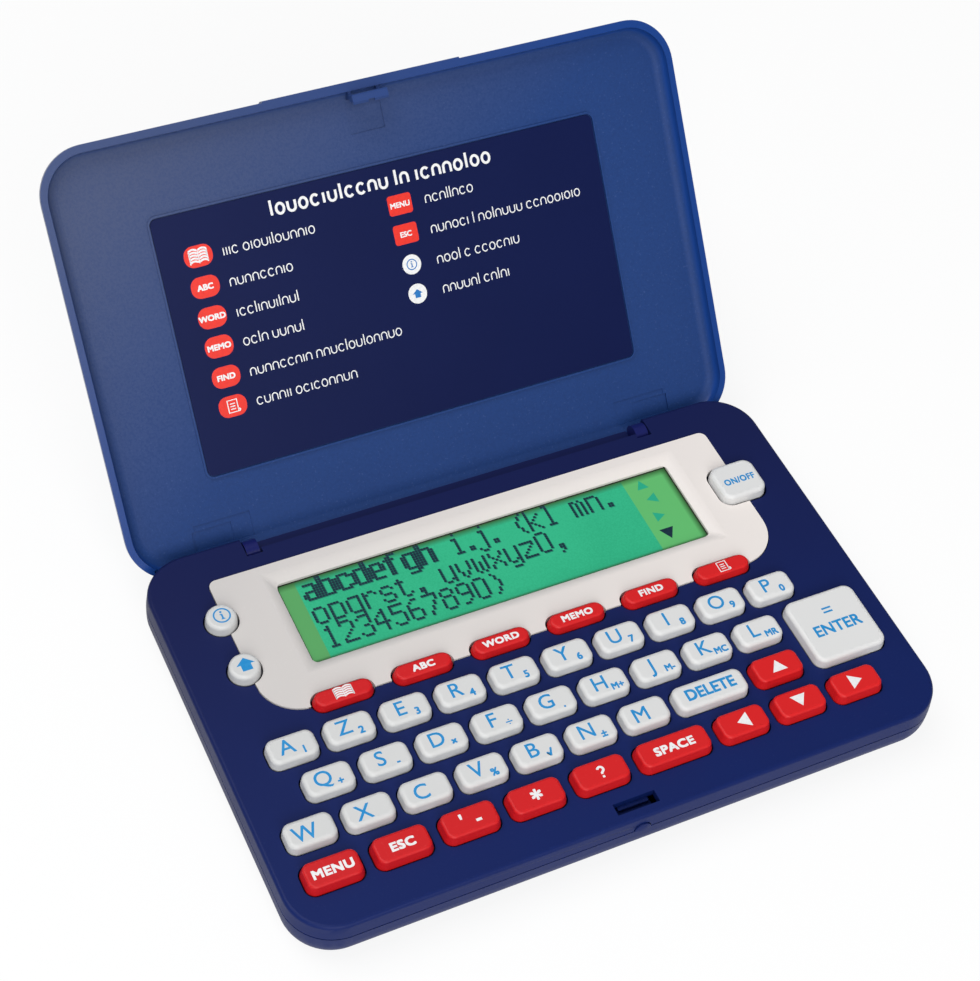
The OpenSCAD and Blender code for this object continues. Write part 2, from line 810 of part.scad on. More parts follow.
module keypad_sheet() {
  dome_r = 2.6;
  color("dimgray") difference() {
    union() {
      translate([0, 0, board_top]) linear_extrude(sheet_t) sheet_plan();
      for (key = all_keys)
        translate([key[0], key[1], sheet_top - over])
          cylinder(r1 = min(dome_r, key[3] / 2), r2 = 1.3, h = dome_h + over);
    }
    for (key = all_keys)
      translate([key[0], key[1], board_top - over])
        cylinder(r1 = min(dome_r, key[3] / 2) - 0.3, r2 = 0.9, h = sheet_t + dome_h - 0.6 + over);
  }
}

module circuit_board() {
  color("darkgreen") {
    translate([0, 0, board_bottom]) linear_extrude(board_t) difference() {
      translate([-board_w / 2, board_front]) square([board_w, board_rear - board_front]);
      for (p = boss_at) translate(p) circle(boss_r + 0.4);
    }
    // Contact springs over the middle of each cell
    for (x = [-1, 1])
      translate([x * cell_x - 3, cell_y - 1.5, cell_bottom + cell_h + 0.05])
        cube([6, 3, board_bottom - cell_bottom - cell_h - 0.05]);
  }
}

module coin_cells() {
  color("silver") for (x = [-1, 1])
    translate([x * cell_x, cell_y, cell_bottom]) {
      cylinder(r = cell_d / 2, h = cell_h - 0.3);
      cylinder(r = cell_d / 2 - 1.2, h = cell_h);
    }
}

module battery_cover() {
  color("midnightblue") difference() {
    union() {
      translate([0, 0, cover_bottom]) linear_extrude(cover_t) cover_plan(0);
      translate([0, 0, cover_bottom])
        linear_extrude(wall - cover_bottom) cell_plan(bay_r - cover_clearance);
      translate([cover_tab_x, cell_y, cover_bottom])
        cylinder(r = cover_boss_r, h = cover_tab_top - cover_bottom);
    }
    translate([cover_tab_x, cell_y, -over]) {
      cylinder(r = screw_head_r + 0.1, h = cover_bottom + cover_head_h + over);
      cylinder(r = screw_r + 0.15, h = base_h);
    }
    // Ribs for the fingertip
    for (i = [0:3])
      translate([-cover_w / 2 + 4 + i * 1.8, cell_y - 4, cover_bottom - over]) cube([0.8, 8, 0.3 + over]);
  }
}

// Latch

module release_button() {
  color("royalblue") difference() {
    union() {
      intersection() {
        translate([hook_x, front_y - button_rise, button_z]) rotate([-90, 0, 0])
          cylinder(r = button_r, h = button_rise + wall - 0.2);
        translate([hook_x - slider_w, front_y - wall, slider_bottom])
          cube([2 * slider_w, 4 * wall, upper_side_h]);
        translate([hook_x, front_y - button_rise + 5, button_z]) sphere(5);
      }
      translate([hook_x - 1.4, front_y + 0.4, slider_bottom])
        cube([2.8, wall + 0.6, slider_top - slider_bottom]);
      translate([hook_x - slider_w / 2, front_y + wall + 0.15, slider_bottom])
        cube([slider_w, catch_rear - front_y - wall - 0.15, slider_top - slider_bottom]);
      // Catch: a wall behind the hook with a nose over its lip
      along_x(hook_x - slider_w / 2, slider_w)
        polygon([
          [slot_rear + 0.05, slider_bottom], [catch_rear, slider_bottom], [catch_rear, deck_bottom - 0.1],
          [catch_front + 0.3, deck_bottom - 0.1], [catch_front, nose_z + 0.2], [catch_front, nose_z],
          [slot_rear + 0.05, nose_z]
        ]);
      // Leg and peg that push on the spring
      translate([hook_x - 1.3, catch_rear - 0.9, leg_bottom])
        cube([2.6, 0.9, slider_bottom - leg_bottom + over]);
      translate([hook_x, catch_rear - over, spring_z]) rotate([-90, 0, 0])
        cylinder(r = spring_r - spring_wire_r - 0.25, h = 0.9 + over);
    }
  }
}

// A closed-end coil: one tube swept along a helix
module latch_spring() {
  steps = 12;
  sides = 6;
  count = spring_turns * steps;
  length = spring_len - 2 * spring_wire_r - 0.1;
  points = [
    for (i = [0:count], j = [0:sides - 1])
      let (a = 360 * i / steps, b = 360 * j / sides, r = spring_r - spring_wire_r + spring_wire_r * cos(b))
        [r * cos(a), r * sin(a), length * i / count + spring_wire_r * sin(b)]
  ];
  walls = [
    for (i = [0:count - 1], j = [0:sides - 1])
      let (k = (j + 1) % sides, p = i * sides, q = p + sides)
        each [[p + j, p + k, q + k], [p + j, q + k, q + j]]
  ];
  ends = [[for (j = [0:sides - 1]) j], [for (j = [sides - 1:-1:0]) count * sides + j]];
  color("lightgray")
    translate([hook_x, catch_rear + spring_wire_r + 0.05, spring_z]) rotate([-90, 0, 0])
      polyhedron(points = points, faces = concat(walls, ends), convexity = 10);
}

// Screws

module screw(head_h, len) {
  difference() {
    union() {
      cylinder(r = screw_head_r, h = head_h);
      cylinder(r = screw_r, h = head_h + len);
    }
    for (a = [0, 90]) rotate([0, 0, a]) translate([-1.2, -0.3, -over]) cube([2.4, 0.6, 0.7]);
  }
}

module case_screws() {
  color("silver") {
    for (p = boss_at) translate([p[0], p[1], screw_seat - 1.3]) screw(1.3, screw_len);
    translate([cover_tab_x, cell_y, cover_bottom + 0.1]) screw(cover_head_h - 0.1, 3);
  }
}

// Keys

module key_a() white_key(letter(0, 0));
module key_z() white_key(letter(0, 1));
module key_e() white_key(letter(0, 2));
module key_r_letter() white_key(letter(0, 3));
module key_t() white_key(letter(0, 4));
module key_y() white_key(letter(0, 5));
module key_u() white_key(letter(0, 6));
module key_i() white_key(letter(0, 7));
module key_o() white_key(letter(0, 8));
module key_p() white_key(letter(0, 9));
module key_q() white_key(letter(1, 0));
module key_s() white_key(letter(1, 1));
module key_d_letter() white_key(letter(1, 2));
module key_f() white_key(letter(1, 3));
module key_g() white_key(letter(1, 4));
module key_h() white_key(letter(1, 5));
module key_j() white_key(letter(1, 6));
module key_k() white_key(letter(1, 7));
module key_l() white_key(letter(1, 8));
module key_w_letter() white_key(letter(2, 0));
module key_x() white_key(letter(2, 1));
module key_c() white_key(letter(2, 2));
module key_v() white_key(letter(2, 3));
module key_b() white_key(letter(2, 4));
module key_n() white_key(letter(2, 5));
module key_m() white_key(letter(2, 6));
module key_control() red_key(command(0));
module key_escape() red_key(command(1));
module key_quote() red_key(command(2));
module key_star() red_key(command(3));
module key_query() red_key(command(4));
module key_space() red_key(space_key);
module key_left() red_key(arrow(-1, 3));
module key_down() red_key(arrow(0, 3));
module key_right() red_key(arrow(1, 3));
module key_up() red_key(arrow(0, 2));
module key_clear() white_key(clear_key);
module key_enter() white_key(enter_key);
module key_book() pill_key(0);
module key_words() pill_key(1);
module key_verbs() pill_key(2);
module key_list() pill_key(3);
module key_index() pill_key(4);
module key_notes() pill_key(5);
module key_info() white_key(info_key);
module key_shift() white_key(shift_key);
module key_power() white_key(power_key);

upper_case();
lower_case();
lid_shell();
lid_label();
display_bezel();
display_panel();
keypad_sheet();
circuit_board();
coin_cells();
battery_cover();
release_button();
latch_spring();
case_screws();
key_a();
key_z();
key_e();
key_r_letter();
key_t();
key_y();
key_u();
key_i();
key_o();
key_p();
key_q();
key_s();
key_d_letter();
key_f();
key_g();
key_h();
key_j();
key_k();
key_l();
key_w_letter();
key_x();
key_c();
key_v();
key_b();
key_n();
key_m();
key_control();
key_escape();
key_quote();
key_star();
key_query();
key_space();
key_left();
key_down();
key_right();
key_up();
key_clear();
key_enter();
key_book();
key_words();
key_verbs();
key_list();
key_index();
key_notes();
key_info();
key_shift();
key_power();
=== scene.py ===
import math
import random
import bpy
from mathutils import Euler, Matrix, Vector


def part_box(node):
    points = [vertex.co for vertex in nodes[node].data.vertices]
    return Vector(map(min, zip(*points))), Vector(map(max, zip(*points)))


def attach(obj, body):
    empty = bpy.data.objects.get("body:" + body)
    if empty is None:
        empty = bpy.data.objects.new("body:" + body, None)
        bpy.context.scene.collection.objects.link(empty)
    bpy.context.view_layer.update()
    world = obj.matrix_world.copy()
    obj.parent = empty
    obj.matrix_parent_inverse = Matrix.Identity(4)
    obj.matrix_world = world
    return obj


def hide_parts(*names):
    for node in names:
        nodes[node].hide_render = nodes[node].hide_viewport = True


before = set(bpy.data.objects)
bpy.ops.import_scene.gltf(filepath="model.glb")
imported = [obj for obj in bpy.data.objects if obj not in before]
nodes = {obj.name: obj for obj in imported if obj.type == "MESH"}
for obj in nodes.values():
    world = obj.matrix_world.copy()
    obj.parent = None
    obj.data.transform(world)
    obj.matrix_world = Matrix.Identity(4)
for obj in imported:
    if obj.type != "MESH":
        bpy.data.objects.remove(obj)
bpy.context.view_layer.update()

mm = 0.001
print("frame loaded,", len(nodes), "nodes")


def paint(red, green, blue):
    # an sRGB colour from 0 to 255, as the linear colour that a socket takes
    def linear(part):
        part = part / 255
        return part / 12.92 if part <= 0.04045 else ((part + 0.055) / 1.055) ** 2.4

    return (linear(red), linear(green), linear(blue), 1)


# Camera

cameraLook = {
    "place": (-146.46, -208.84, 357.14),
    "turn": (39.7008, -5.4594, -25.2798),
    "lens": 79.97,
    "film": 36,
    "nearest": 0.01,
    "farthest": 20,
}


def makeCamera(look):
    data = bpy.data.cameras.new("camera")
    data.lens = look["lens"]
    data.sensor_width = look["film"]
    data.clip_start = look["nearest"]
    data.clip_end = look["farthest"]
    camera = bpy.data.objects.new("camera", data)
    bpy.context.scene.collection.objects.link(camera)
    camera.location = Vector(look["place"]) * mm
    camera.rotation_euler = Euler([math.radians(angle) for angle in look["turn"]], "XYZ")
    bpy.context.scene.camera = camera


makeCamera(cameraLook)


# Shader maths

class Wire:
    # one output of a node, so that shader maths is written as plain sums
    def __init__(self, finish, socket):
        self.finish = finish
        self.socket = socket

    def sum(self, operation, first, second):
        return self.finish.node("Math", {"operation": operation}, {0: first, 1: second})

    def __add__(self, other):
        return self.sum("ADD", self, other)

    def __sub__(self, other):
        return self.sum("SUBTRACT", self, other)

    def __rsub__(self, other):
        return self.sum("SUBTRACT", other, self)

    def __mul__(self, other):
        return self.sum("MULTIPLY", self, other)

    def __gt__(self, other):
        return self.sum("GREATER_THAN", self, other)

    def __lt__(self, other):
        return self.sum("LESS_THAN", self, other)

    __radd__ = __add__
    __rmul__ = __mul__


class Finish:
    # one material: the shader's fixed values are given at once, and what varies is fed in afterwards
    def __init__(self, name, fixed):
        self.material = bpy.data.materials.new(name)
        self.material.use_nodes = True
        self.tree = self.material.node_tree
        self.shader = self.tree.nodes["Principled BSDF"]
        for socket, value in fixed.items():
            self.shader.inputs[socket].default_value = value
        self.place = self.node("TexCoord", {}, {}, "Object")

    def node(self, kind, settings, inputs, output=0):
        made = self.tree.nodes.new("ShaderNode" + kind)
        for name, value in settings.items():
            setattr(made, name, value)
        for name, value in inputs.items():
            if isinstance(value, Wire):
                self.tree.links.new(value.socket, made.inputs[name])
            else:
                made.inputs[name].default_value = value
        return Wire(self, made.outputs[output])

    def noise(self, size, detail=2):
        return self.node("TexNoise", {}, {"Vector": self.place, "Scale": 1 / (size * mm), "Detail": detail})

    def spread(self, value, low, high):
        return self.node("MapRange", {}, {"Value": value, "From Min": low, "From Max": high})

    def mix(self, share, first, second):
        return self.node("Mix", {"data_type": "RGBA"}, {0: share, 6: first, 7: second}, 2)

    def along(self, direction):
        # the distance in millimetres from the origin along a direction
        far = {0: self.place, 1: tuple(part / mm for part in direction)}
        return self.node("VectorMath", {"operation": "DOT_PRODUCT"}, far, "Value")

    def feed(self, socket, value):
        self.tree.links.new(value.socket, self.shader.inputs[socket])

    def fed(self, socket):
        # what feeds a socket of the shader now, so that it can be mixed with something more
        return Wire(self, self.shader.inputs[socket].links[0].from_socket)

    def bump(self, height, depth):
        made = self.node("Bump", {}, {"Height": height, "Distance": depth * mm})
        self.feed("Normal", made)


mouldLook = {"speckLow": 0.66, "speckHigh": 0.74}


def mouldedPlastic(name, look):
    # moulded plastic: a spark-eroded grain, faint clouding, fine pale specks and handled patches
    finish = Finish(name, {"IOR": 1.5, "Specular IOR Level": look["shine"]})
    grain = finish.noise(look["grain"], 2)
    cloud = finish.noise(look["cloud"], 3)
    specks = finish.noise(look["speck"], 1)
    specks = finish.spread(specks, mouldLook["speckLow"], mouldLook["speckHigh"])
    colour = finish.mix(cloud, look["colour"], look["shade"])
    colour = finish.mix(specks * look["specks"], colour, look["pale"])
    finish.feed("Base Color", colour)
    finish.feed("Roughness", look["rough"] + grain * look["roughGrain"] + cloud * look["roughCloud"])
    finish.bump(grain, look["depth"])
    return finish


deckLook = {
    "colour": paint(14, 33, 92), "shade": paint(13, 30, 86), "pale": paint(60, 74, 130),
    # the rear colour is painted shade, which the deck darkens to towards the hinge
    "rear": paint(17, 26, 74), "front": -36, "back": 34,
    "shine": 0.15, "grain": 0.28, "cloud": 14, "speck": 0.5, "specks": 0.1,
    "rough": 0.34, "roughGrain": 0.16, "roughCloud": 0.08, "depth": 0.006,
}
lidLook = {
    "colour": paint(27, 61, 121), "shade": paint(26, 58, 116), "pale": paint(90, 112, 160),
    "shine": 0.22, "grain": 0.32, "cloud": 18, "speck": 0.45, "specks": 0.2,
    "rough": 0.42, "roughGrain": 0.2, "roughCloud": 0.06, "depth": 0.03,
    "sheen": paint(69, 81, 116), "rimSheen": paint(55, 72, 116), "sheenFrom": 4, "sheenTo": 105,
    "sheenAcross": -1, "sheenUp": 1.5, "backHeight": -1.1, "insideHeight": -0.7,
    "mottleDark": paint(24, 54, 108), "mottle": 0.5, "mottleSize": 1.6,
    "mottleLow": 0.42, "mottleHigh": 0.64, "mottleFade": 0.6,
    "rimColour": paint(24, 62, 132), "rimRough": 0.28, "floorHeight": 0.4, "rimHeight": 1,
    "hingeShade": paint(22, 28, 88), "hingeX": -0.5, "knuckleX": 44.3, "knuckleHalf": 1.5,
    "knuckleReach": 2.45,
}
bezelLook = {
    "colour": paint(206, 202, 199), "shade": paint(202, 198, 195), "pale": paint(226, 223, 220),
    "paintedLight": paint(234, 227, 222), "left": -58, "right": 56,
    "shine": 0.4, "grain": 0.3, "cloud": 20, "speck": 0.6, "specks": 0.1,
    "rough": 0.4, "roughGrain": 0.1, "roughCloud": 0.06, "depth": 0.003,
}
whiteKeyLook = {
    "colour": paint(209, 209, 208), "shade": paint(204, 205, 204), "pale": paint(230, 230, 230),
    "paintedLight": paint(221, 221, 220), "left": -60, "right": 60,
    # the gap colour is painted shade on the key below the deck's face
    "gap": paint(34, 38, 62), "gapBelow": 11.5, "gapAbove": 11.9,
    "shine": 0.4, "grain": 0.25, "cloud": 9, "speck": 0.5, "specks": 0.1,
    "rough": 0.32, "roughGrain": 0.1, "roughCloud": 0.1, "depth": 0.002,
}
redKeyLook = {
    "colour": paint(203, 22, 28), "shade": paint(196, 19, 25), "pale": paint(230, 108, 102),
    "paintedLight": paint(214, 27, 29), "left": -60, "right": 60,
    "gap": paint(40, 10, 22), "gapBelow": 11.5, "gapAbove": 11.9,
    "shine": 0.3, "grain": 0.25, "cloud": 9, "speck": 0.5, "specks": 0.08,
    "rough": 0.36, "roughGrain": 0.1, "roughCloud": 0.1, "depth": 0.002,
}


def deckPlastic(name, look):
    # painted shade: the deck darkens a little from its front to the hinge, as the light falls off towards the
    # back
    finish = mouldedPlastic(name, look)
    base = finish.fed("Base Color")
    share = finish.spread(finish.along((0, 1, 0)), look["front"], look["back"])
    finish.feed("Base Color", finish.mix(share, base, look["rear"]))
    return finish


def frontPlastic(name, look):
    # painted light: the bezel and the keys are painted a shade lighter towards the right, to match how the
    # light falls on them
    finish = mouldedPlastic(name, look)
    base = finish.fed("Base Color")
    share = finish.spread(finish.along((1, 0, 0)), look["left"], look["right"])
    finish.feed("Base Color", finish.mix(share, base, look["paintedLight"]))
    return finish


def keyPlastic(name, look):
    # painted shade: a key is dark below the deck's face, where only its gap shows it
    finish = frontPlastic(name, look)
    base = finish.fed("Base Color")
    share = finish.spread(finish.along((0, 0, 1)), look["gapBelow"], look["gapAbove"])
    finish.feed("Base Color", finish.mix(share, look["gap"], base))
    return finish


# The lid stands open: its own directions, from its closed pose turned about the hinge

lidPose = {"axisY": 41.76, "axisZ": 9.72, "openAngle": 128.65, "labelFace": 14.7}


def lidFrame(look):
    # takes a point on the label, as right, up and out of its face in millimetres, to its open place
    axis = Vector((0, look["axisY"], look["axisZ"]))
    turn = Matrix.Rotation(math.radians(-look["openAngle"]), 4, "X")
    closed = Matrix.Translation((0, 0, look["labelFace"])) @ Matrix.Rotation(math.pi, 4, "X")
    return Matrix.Scale(mm, 4) @ Matrix.Translation(axis) @ turn @ Matrix.Translation(-axis) @ closed


onLabel = lidFrame(lidPose)
lidOut = (onLabel.to_3x3() @ Vector((0, 0, 1))).normalized()
labelHeight = lidOut.dot(onLabel.translation) / mm
lidCorner = (onLabel.to_3x3() @ Vector((lidLook["sheenAcross"], lidLook["sheenUp"], 0))) / mm
cornerHeight = lidCorner.dot(onLabel.translation) / mm


def lidPlastic(name, look):
    # the tray's floor is grained and the rim smooth, told apart by their height above the label
    finish = mouldedPlastic(name, look)
    rim = finish.along(lidOut)
    rim = finish.spread(rim, labelHeight + look["floorHeight"], labelHeight + look["rimHeight"])
    base = finish.fed("Base Color")
    rough = finish.fed("Roughness")
    # painted sheen: inside, the lid and its rim are painted lighter and greyer towards the upper left corner,
    # as light glances off them
    sheen = finish.spread(finish.along(lidCorner) - cornerHeight, look["sheenFrom"], look["sheenTo"])
    inner = finish.along(lidOut)
    inner = finish.spread(inner, labelHeight + look["backHeight"], labelHeight + look["insideHeight"])
    floor = finish.mix(sheen * inner, base, look["sheen"])
    pits = finish.noise(look["grain"] * look["mottleSize"], 2)
    pits = finish.spread(pits, look["mottleLow"], look["mottleHigh"])
    floor = finish.mix(pits * look["mottle"] * (1 - sheen * look["mottleFade"]), floor, look["mottleDark"])
    colour = finish.mix(rim, floor, finish.mix(sheen, look["rimColour"], look["rimSheen"]))
    # painted shade: the two knuckles are darkened to look as dark as the deck they turn in, which shades them
    side = finish.node("Math", {"operation": "ABSOLUTE"}, {0: finish.along((1, 0, 0)) - look["hingeX"]})
    back = finish.along((0, 1, 0)) - lidPose["axisY"]
    high = finish.along((0, 0, 1)) - lidPose["axisZ"]
    knuckle = side > look["knuckleX"] - look["knuckleHalf"]
    knuckle = knuckle * (side < look["knuckleX"] + look["knuckleHalf"])
    knuckle = knuckle * (back * back + high * high < look["knuckleReach"] ** 2)
    finish.feed("Base Color", finish.mix(knuckle, colour, look["hingeShade"]))
    finish.feed("Roughness", rough * (1 - rim) + rim * look["rimRough"])
    grain = finish.noise(look["grain"], 2) * (1 - rim)
    finish.bump(grain, look["depth"])
    return finish


labelLook = {
    "colour": paint(8, 20, 66), "shade": paint(11, 23, 71), "shine": 0.12, "cloud": 22,
    "rough": 0.36, "roughFibre": 0.1, "fibre": 0.4, "depth": 0.002,
}


def filmFinish(name, look):
    # the printed film of the label: matt, with a faint orange-peel
    finish = Finish(name, {"Specular IOR Level": look["shine"]})
    peel = finish.noise(look["fibre"], 2)
    cloud = finish.noise(look["cloud"], 2)
    finish.feed("Base Color", finish.mix(cloud, look["colour"], look["shade"]))
    finish.feed("Roughness", look["rough"] + peel * look["roughFibre"])
    finish.bump(peel, look["depth"])
    return finish


displayLook = {
    "active": paint(50, 182, 134), "activeDeep": paint(42, 170, 124), "strip": paint(88, 162, 96),
    "stripRight": paint(96, 184, 108), "edge": paint(30, 44, 26), "shadow": paint(48, 96, 50),
    "activeLeft": -40.1, "activeRight": 33.5, "shine": 0.3, "grain": 0.35, "cloud": 30,
    "tealLow": 0.8, "tealHigh": 1.2, "rough": 0.3, "roughGrain": 0.12,
    "rearShadow": 1.5, "rightShadow": 1.3, "frontShadow": 0.8,
    "windowX": 0.15, "windowY": 20.7, "windowWidth": 88.1, "windowDepth": 20.2, "edgeLine": 0.3,
}


def displayFinish(name, look):
    # the display's glass: a teal field between two yellow-green strips, with a painted shadow line where the
    # bezel ends
    finish = Finish(name, {"Specular IOR Level": look["shine"]})
    right = finish.along((1, 0, 0))
    back = finish.along((0, 1, 0))
    field = (right > look["activeLeft"]) * (right < look["activeRight"])
    grain = finish.noise(look["grain"], 3)
    cloud = finish.noise(look["cloud"], 2)
    teal = finish.spread(grain + cloud, look["tealLow"], look["tealHigh"])
    teal = finish.mix(teal, look["activeDeep"], look["active"])
    colour = finish.mix(field, finish.mix(right > 0, look["strip"], look["stripRight"]), teal)
    halfWidth = look["windowWidth"] / 2 - look["edgeLine"]
    halfDepth = look["windowDepth"] / 2 - look["edgeLine"]
    leftEdge, rightEdge = look["windowX"] - halfWidth, look["windowX"] + halfWidth
    frontEdge, rearEdge = look["windowY"] - halfDepth, look["windowY"] + halfDepth
    inside = (right > leftEdge) * (right < rightEdge)
    inside = inside * (back > frontEdge) * (back < rearEdge)
    # painted shade: the glass darkens where the seat hides its rim from the light
    rear = finish.spread(back, rearEdge, rearEdge - look["rearShadow"])
    side = finish.spread(right, rightEdge, rightEdge - look["rightShadow"])
    front = finish.spread(back, frontEdge, frontEdge + look["frontShadow"])
    colour = finish.mix(rear * side * front, look["shadow"], colour)
    # the dark line round the window is a painted shadow
    finish.feed("Base Color", finish.mix(inside, look["edge"], colour))
    finish.feed("Roughness", look["rough"] + grain * look["roughGrain"])
    return finish


inkLook = {"shine": 0.35, "patch": 0.6, "wornLow": 0.45, "wornHigh": 0.75, "rough": 0.32, "roughPatch": 0.14}


def inkFinish(name, colour, worn):
    # printing ink: slightly uneven, and a little glossier than what it is printed on
    finish = Finish(name, {"Specular IOR Level": inkLook["shine"]})
    patch = finish.noise(inkLook["patch"], 3)
    share = finish.spread(patch, inkLook["wornLow"], inkLook["wornHigh"])
    finish.feed("Base Color", finish.mix(share, colour, worn))
    finish.feed("Roughness", inkLook["rough"] + patch * inkLook["roughPatch"])
    return finish


steelLook = {
    "colour": paint(196, 198, 202), "shade": paint(150, 152, 156),
    "drawn": 0.15, "rough": 0.22, "roughDrawn": 0.2, "depth": 0.002,
}


def metalFinish(name, look):
    # bright steel with drawn lines
    finish = Finish(name, {"Metallic": 1})
    drawn = finish.noise(look["drawn"], 4)
    finish.feed("Base Color", finish.mix(drawn, look["colour"], look["shade"]))
    finish.feed("Roughness", look["rough"] + drawn * look["roughDrawn"])
    finish.bump(drawn, look["depth"])
    return finish


boardLook = {
    "colour": paint(22, 84, 46), "track": paint(34, 112, 58), "weave": paint(70, 130, 70),
    "shine": 0.5, "threads": 12, "weaveShare": 0.1, "trackSize": 1.6, "trackLow": 0.5, "trackHigh": 0.53,
    "rough": 0.3, "roughTrack": 0.15, "depth": 0.02,
}


def boardFinish(name, look):
    # the circuit board: solder resist over a woven laminate
    finish = Finish(name, {"Specular IOR Level": look["shine"]})
    right = finish.along((1, 0, 0))
    back = finish.along((0, 1, 0))
    weave = finish.node("Math", {"operation": "SINE"}, {0: right * look["threads"]})
    weave = weave * finish.node("Math", {"operation": "SINE"}, {0: back * look["threads"]})
    tracks = finish.spread(finish.noise(look["trackSize"], 1), look["trackLow"], look["trackHigh"])
    colour = finish.mix(tracks, look["colour"], look["track"])
    share = weave * look["weaveShare"] + look["weaveShare"]
    finish.feed("Base Color", finish.mix(share, colour, look["weave"]))
    finish.feed("Roughness", look["rough"] + tracks * look["roughTrack"])
    finish.bump(tracks, look["depth"])
    return finish


rubberLook = {
    "colour": paint(38, 42, 62), "dusty": paint(58, 62, 82), "shine": 0.3,
    "dust": 0.8, "rough": 0.6, "roughDust": 0.2, "depth": 0.01,
}


def rubberFinish(name, look):
    # the silicone key sheet: dark and dusty
    finish = Finish(name, {"Specular IOR Level": look["shine"]})
    dust = finish.noise(look["dust"], 4)
    finish.feed("Base Color", finish.mix(dust, look["colour"], look["dusty"]))
    finish.feed("Roughness", look["rough"] + dust * look["roughDust"])
    finish.bump(dust, look["depth"])
    return finish


finishes = {
    "deck": deckPlastic("navyPlastic", deckLook),
    "lid": lidPlastic("bluePlastic", lidLook),
    "bezel": frontPlastic("bezelWhite", bezelLook),
    "whiteKey": keyPlastic("keyWhite", whiteKeyLook),
    "redKey": keyPlastic("keyRed", redKeyLook),
    "label": filmFinish("labelFilm", labelLook),
    "display": displayFinish("displayGlass", displayLook),
    "blueInk": inkFinish("blueInk", paint(26, 136, 200), paint(48, 146, 204)),
    "darkBlueInk": inkFinish("darkBlueInk", paint(24, 110, 184), paint(44, 124, 190)),
    "whiteInk": inkFinish("whiteInk", paint(236, 236, 236), paint(222, 222, 224)),
    "redInk": inkFinish("redInk", paint(232, 48, 34), paint(222, 42, 32)),
    "dotInk": inkFinish("displayDots", paint(10, 38, 56), paint(18, 50, 64)),
    "paintedShadow": inkFinish("displayShadow", paint(26, 124, 98), paint(30, 132, 104)),
    "mintInk": inkFinish("displayMint", paint(34, 168, 132), paint(38, 166, 128)),
    "steel": metalFinish("brightSteel", steelLook),
    "board": boardFinish("boardLaminate", boardLook),
    "rubber": rubberFinish("keyRubber", rubberLook),
}

redNodes = ["control", "escape", "quote", "star", "query", "space", "left", "down", "right", "up"]
redNodes += ["book", "words", "verbs", "list", "index", "notes"]
redNodes = ["key_" + name for name in redNodes]
nodeFinishes = {
    "upper_case": "deck", "lower_case": "deck", "battery_cover": "deck", "release_button": "deck",
    "lid_shell": "lid", "lid_label": "label", "display_bezel": "bezel", "display_panel": "display",
    "keypad_sheet": "rubber", "circuit_board": "board", "coin_cells": "steel",
    "latch_spring": "steel", "case_screws": "steel",
}


def dressNodes():
    for name, node in nodes.items():
        kind = nodeFinishes.get(name) or ("redKey" if name in redNodes else "whiteKey")
        material = finishes[kind].material
        if not node.data.materials:
            node.data.materials.append(material)
        for slot in node.material_slots:
            slot.material = material


dressNodes()
print("materials on all nodes")


# Modelling helpers

inkDepth = {"above": 0.012, "below": 0.02, "overprint": 0.0006}
capitalHeight = 0.73  # of a capital, as a share of the font's size


def clear():
    if bpy.context.mode != "OBJECT":
        bpy.ops.object.mode_set(mode="OBJECT")
    bpy.ops.object.select_all(action="DESELECT")


def only(piece):
    clear()
    piece.select_set(True)
    bpy.context.view_layer.objects.active = piece


def joined(parts):
    clear()
    for part in parts:
        part.select_set(True)
    bpy.context.view_layer.objects.active = parts[0]
    if len(parts) > 1:
        bpy.ops.object.join()
    return bpy.context.view_layer.objects.active


def copied(piece, x, y):
    twin = piece.copy()
    twin.data = piece.data.copy()
    bpy.context.scene.collection.objects.link(twin)
    twin.data.transform(Matrix.Translation((x, y, 0)))
    return twin


def thickened(piece):
    # a flat shape drawn at height 0 becomes a thin closed print, sunk a little into what it lies on
    only(piece)
    bpy.ops.object.mode_set(mode="EDIT")
    bpy.ops.mesh.select_all(action="SELECT")
    rise = inkDepth["above"] + inkDepth["below"]
    bpy.ops.mesh.extrude_region_move(TRANSFORM_OT_translate={"value": (0, 0, rise)})
    bpy.ops.mesh.select_all(action="SELECT")
    bpy.ops.transform.translate(value=(0, 0, -inkDepth["below"]))
    bpy.ops.mesh.normals_make_consistent(inside=False)
    bpy.ops.object.mode_set(mode="OBJECT")
    return piece


def outline(points):
    # a filled ring of as many corners as the outline has, moved to its points
    clear()
    bpy.ops.mesh.primitive_circle_add(vertices=len(points), radius=1, fill_type="NGON")
    shape = bpy.context.object
    for vertex, point in zip(shape.data.vertices, points):
        vertex.co = (point[0], point[1], 0)
    return thickened(shape)


def ribbon(path, width):
    # a band of even width along a path; a path that ends where it starts closes up
    clear()
    bpy.ops.mesh.primitive_grid_add(x_subdivisions=len(path) - 1, y_subdivisions=1, size=1)
    band = bpy.context.object
    closed = (Vector(path[0]) - Vector(path[-1])).length < 1e-4
    count = len(path)
    for index, point in enumerate(path):
        before = path[max(index - 1, 0)] if not closed or index > 0 else path[-2]
        after = path[min(index + 1, count - 1)] if not closed or index < count - 1 else path[1]
        heading = (Vector(after) - Vector(before)).normalized()
        side = Vector((-heading.y, heading.x)) * width / 2
        band.data.vertices[index].co = (point[0] - side.x, point[1] - side.y, 0)
        band.data.vertices[index + count].co = (point[0] + side.x, point[1] + side.y, 0)
    if closed:
        only(band)
        bpy.ops.object.mode_set(mode="EDIT")
        bpy.ops.mesh.select_all(action="SELECT")
        bpy.ops.mesh.remove_doubles(threshold=1e-4)
        bpy.ops.object.mode_set(mode="OBJECT")
    return thickened(band)


def arc(x, y, radiusX, radiusY, start, end, steps):
    angles = [math.radians(start + (end - start) * step / steps) for step in range(steps + 1)]
    return [(x + radiusX * math.cos(angle), y + radiusY * math.sin(angle)) for angle in angles]


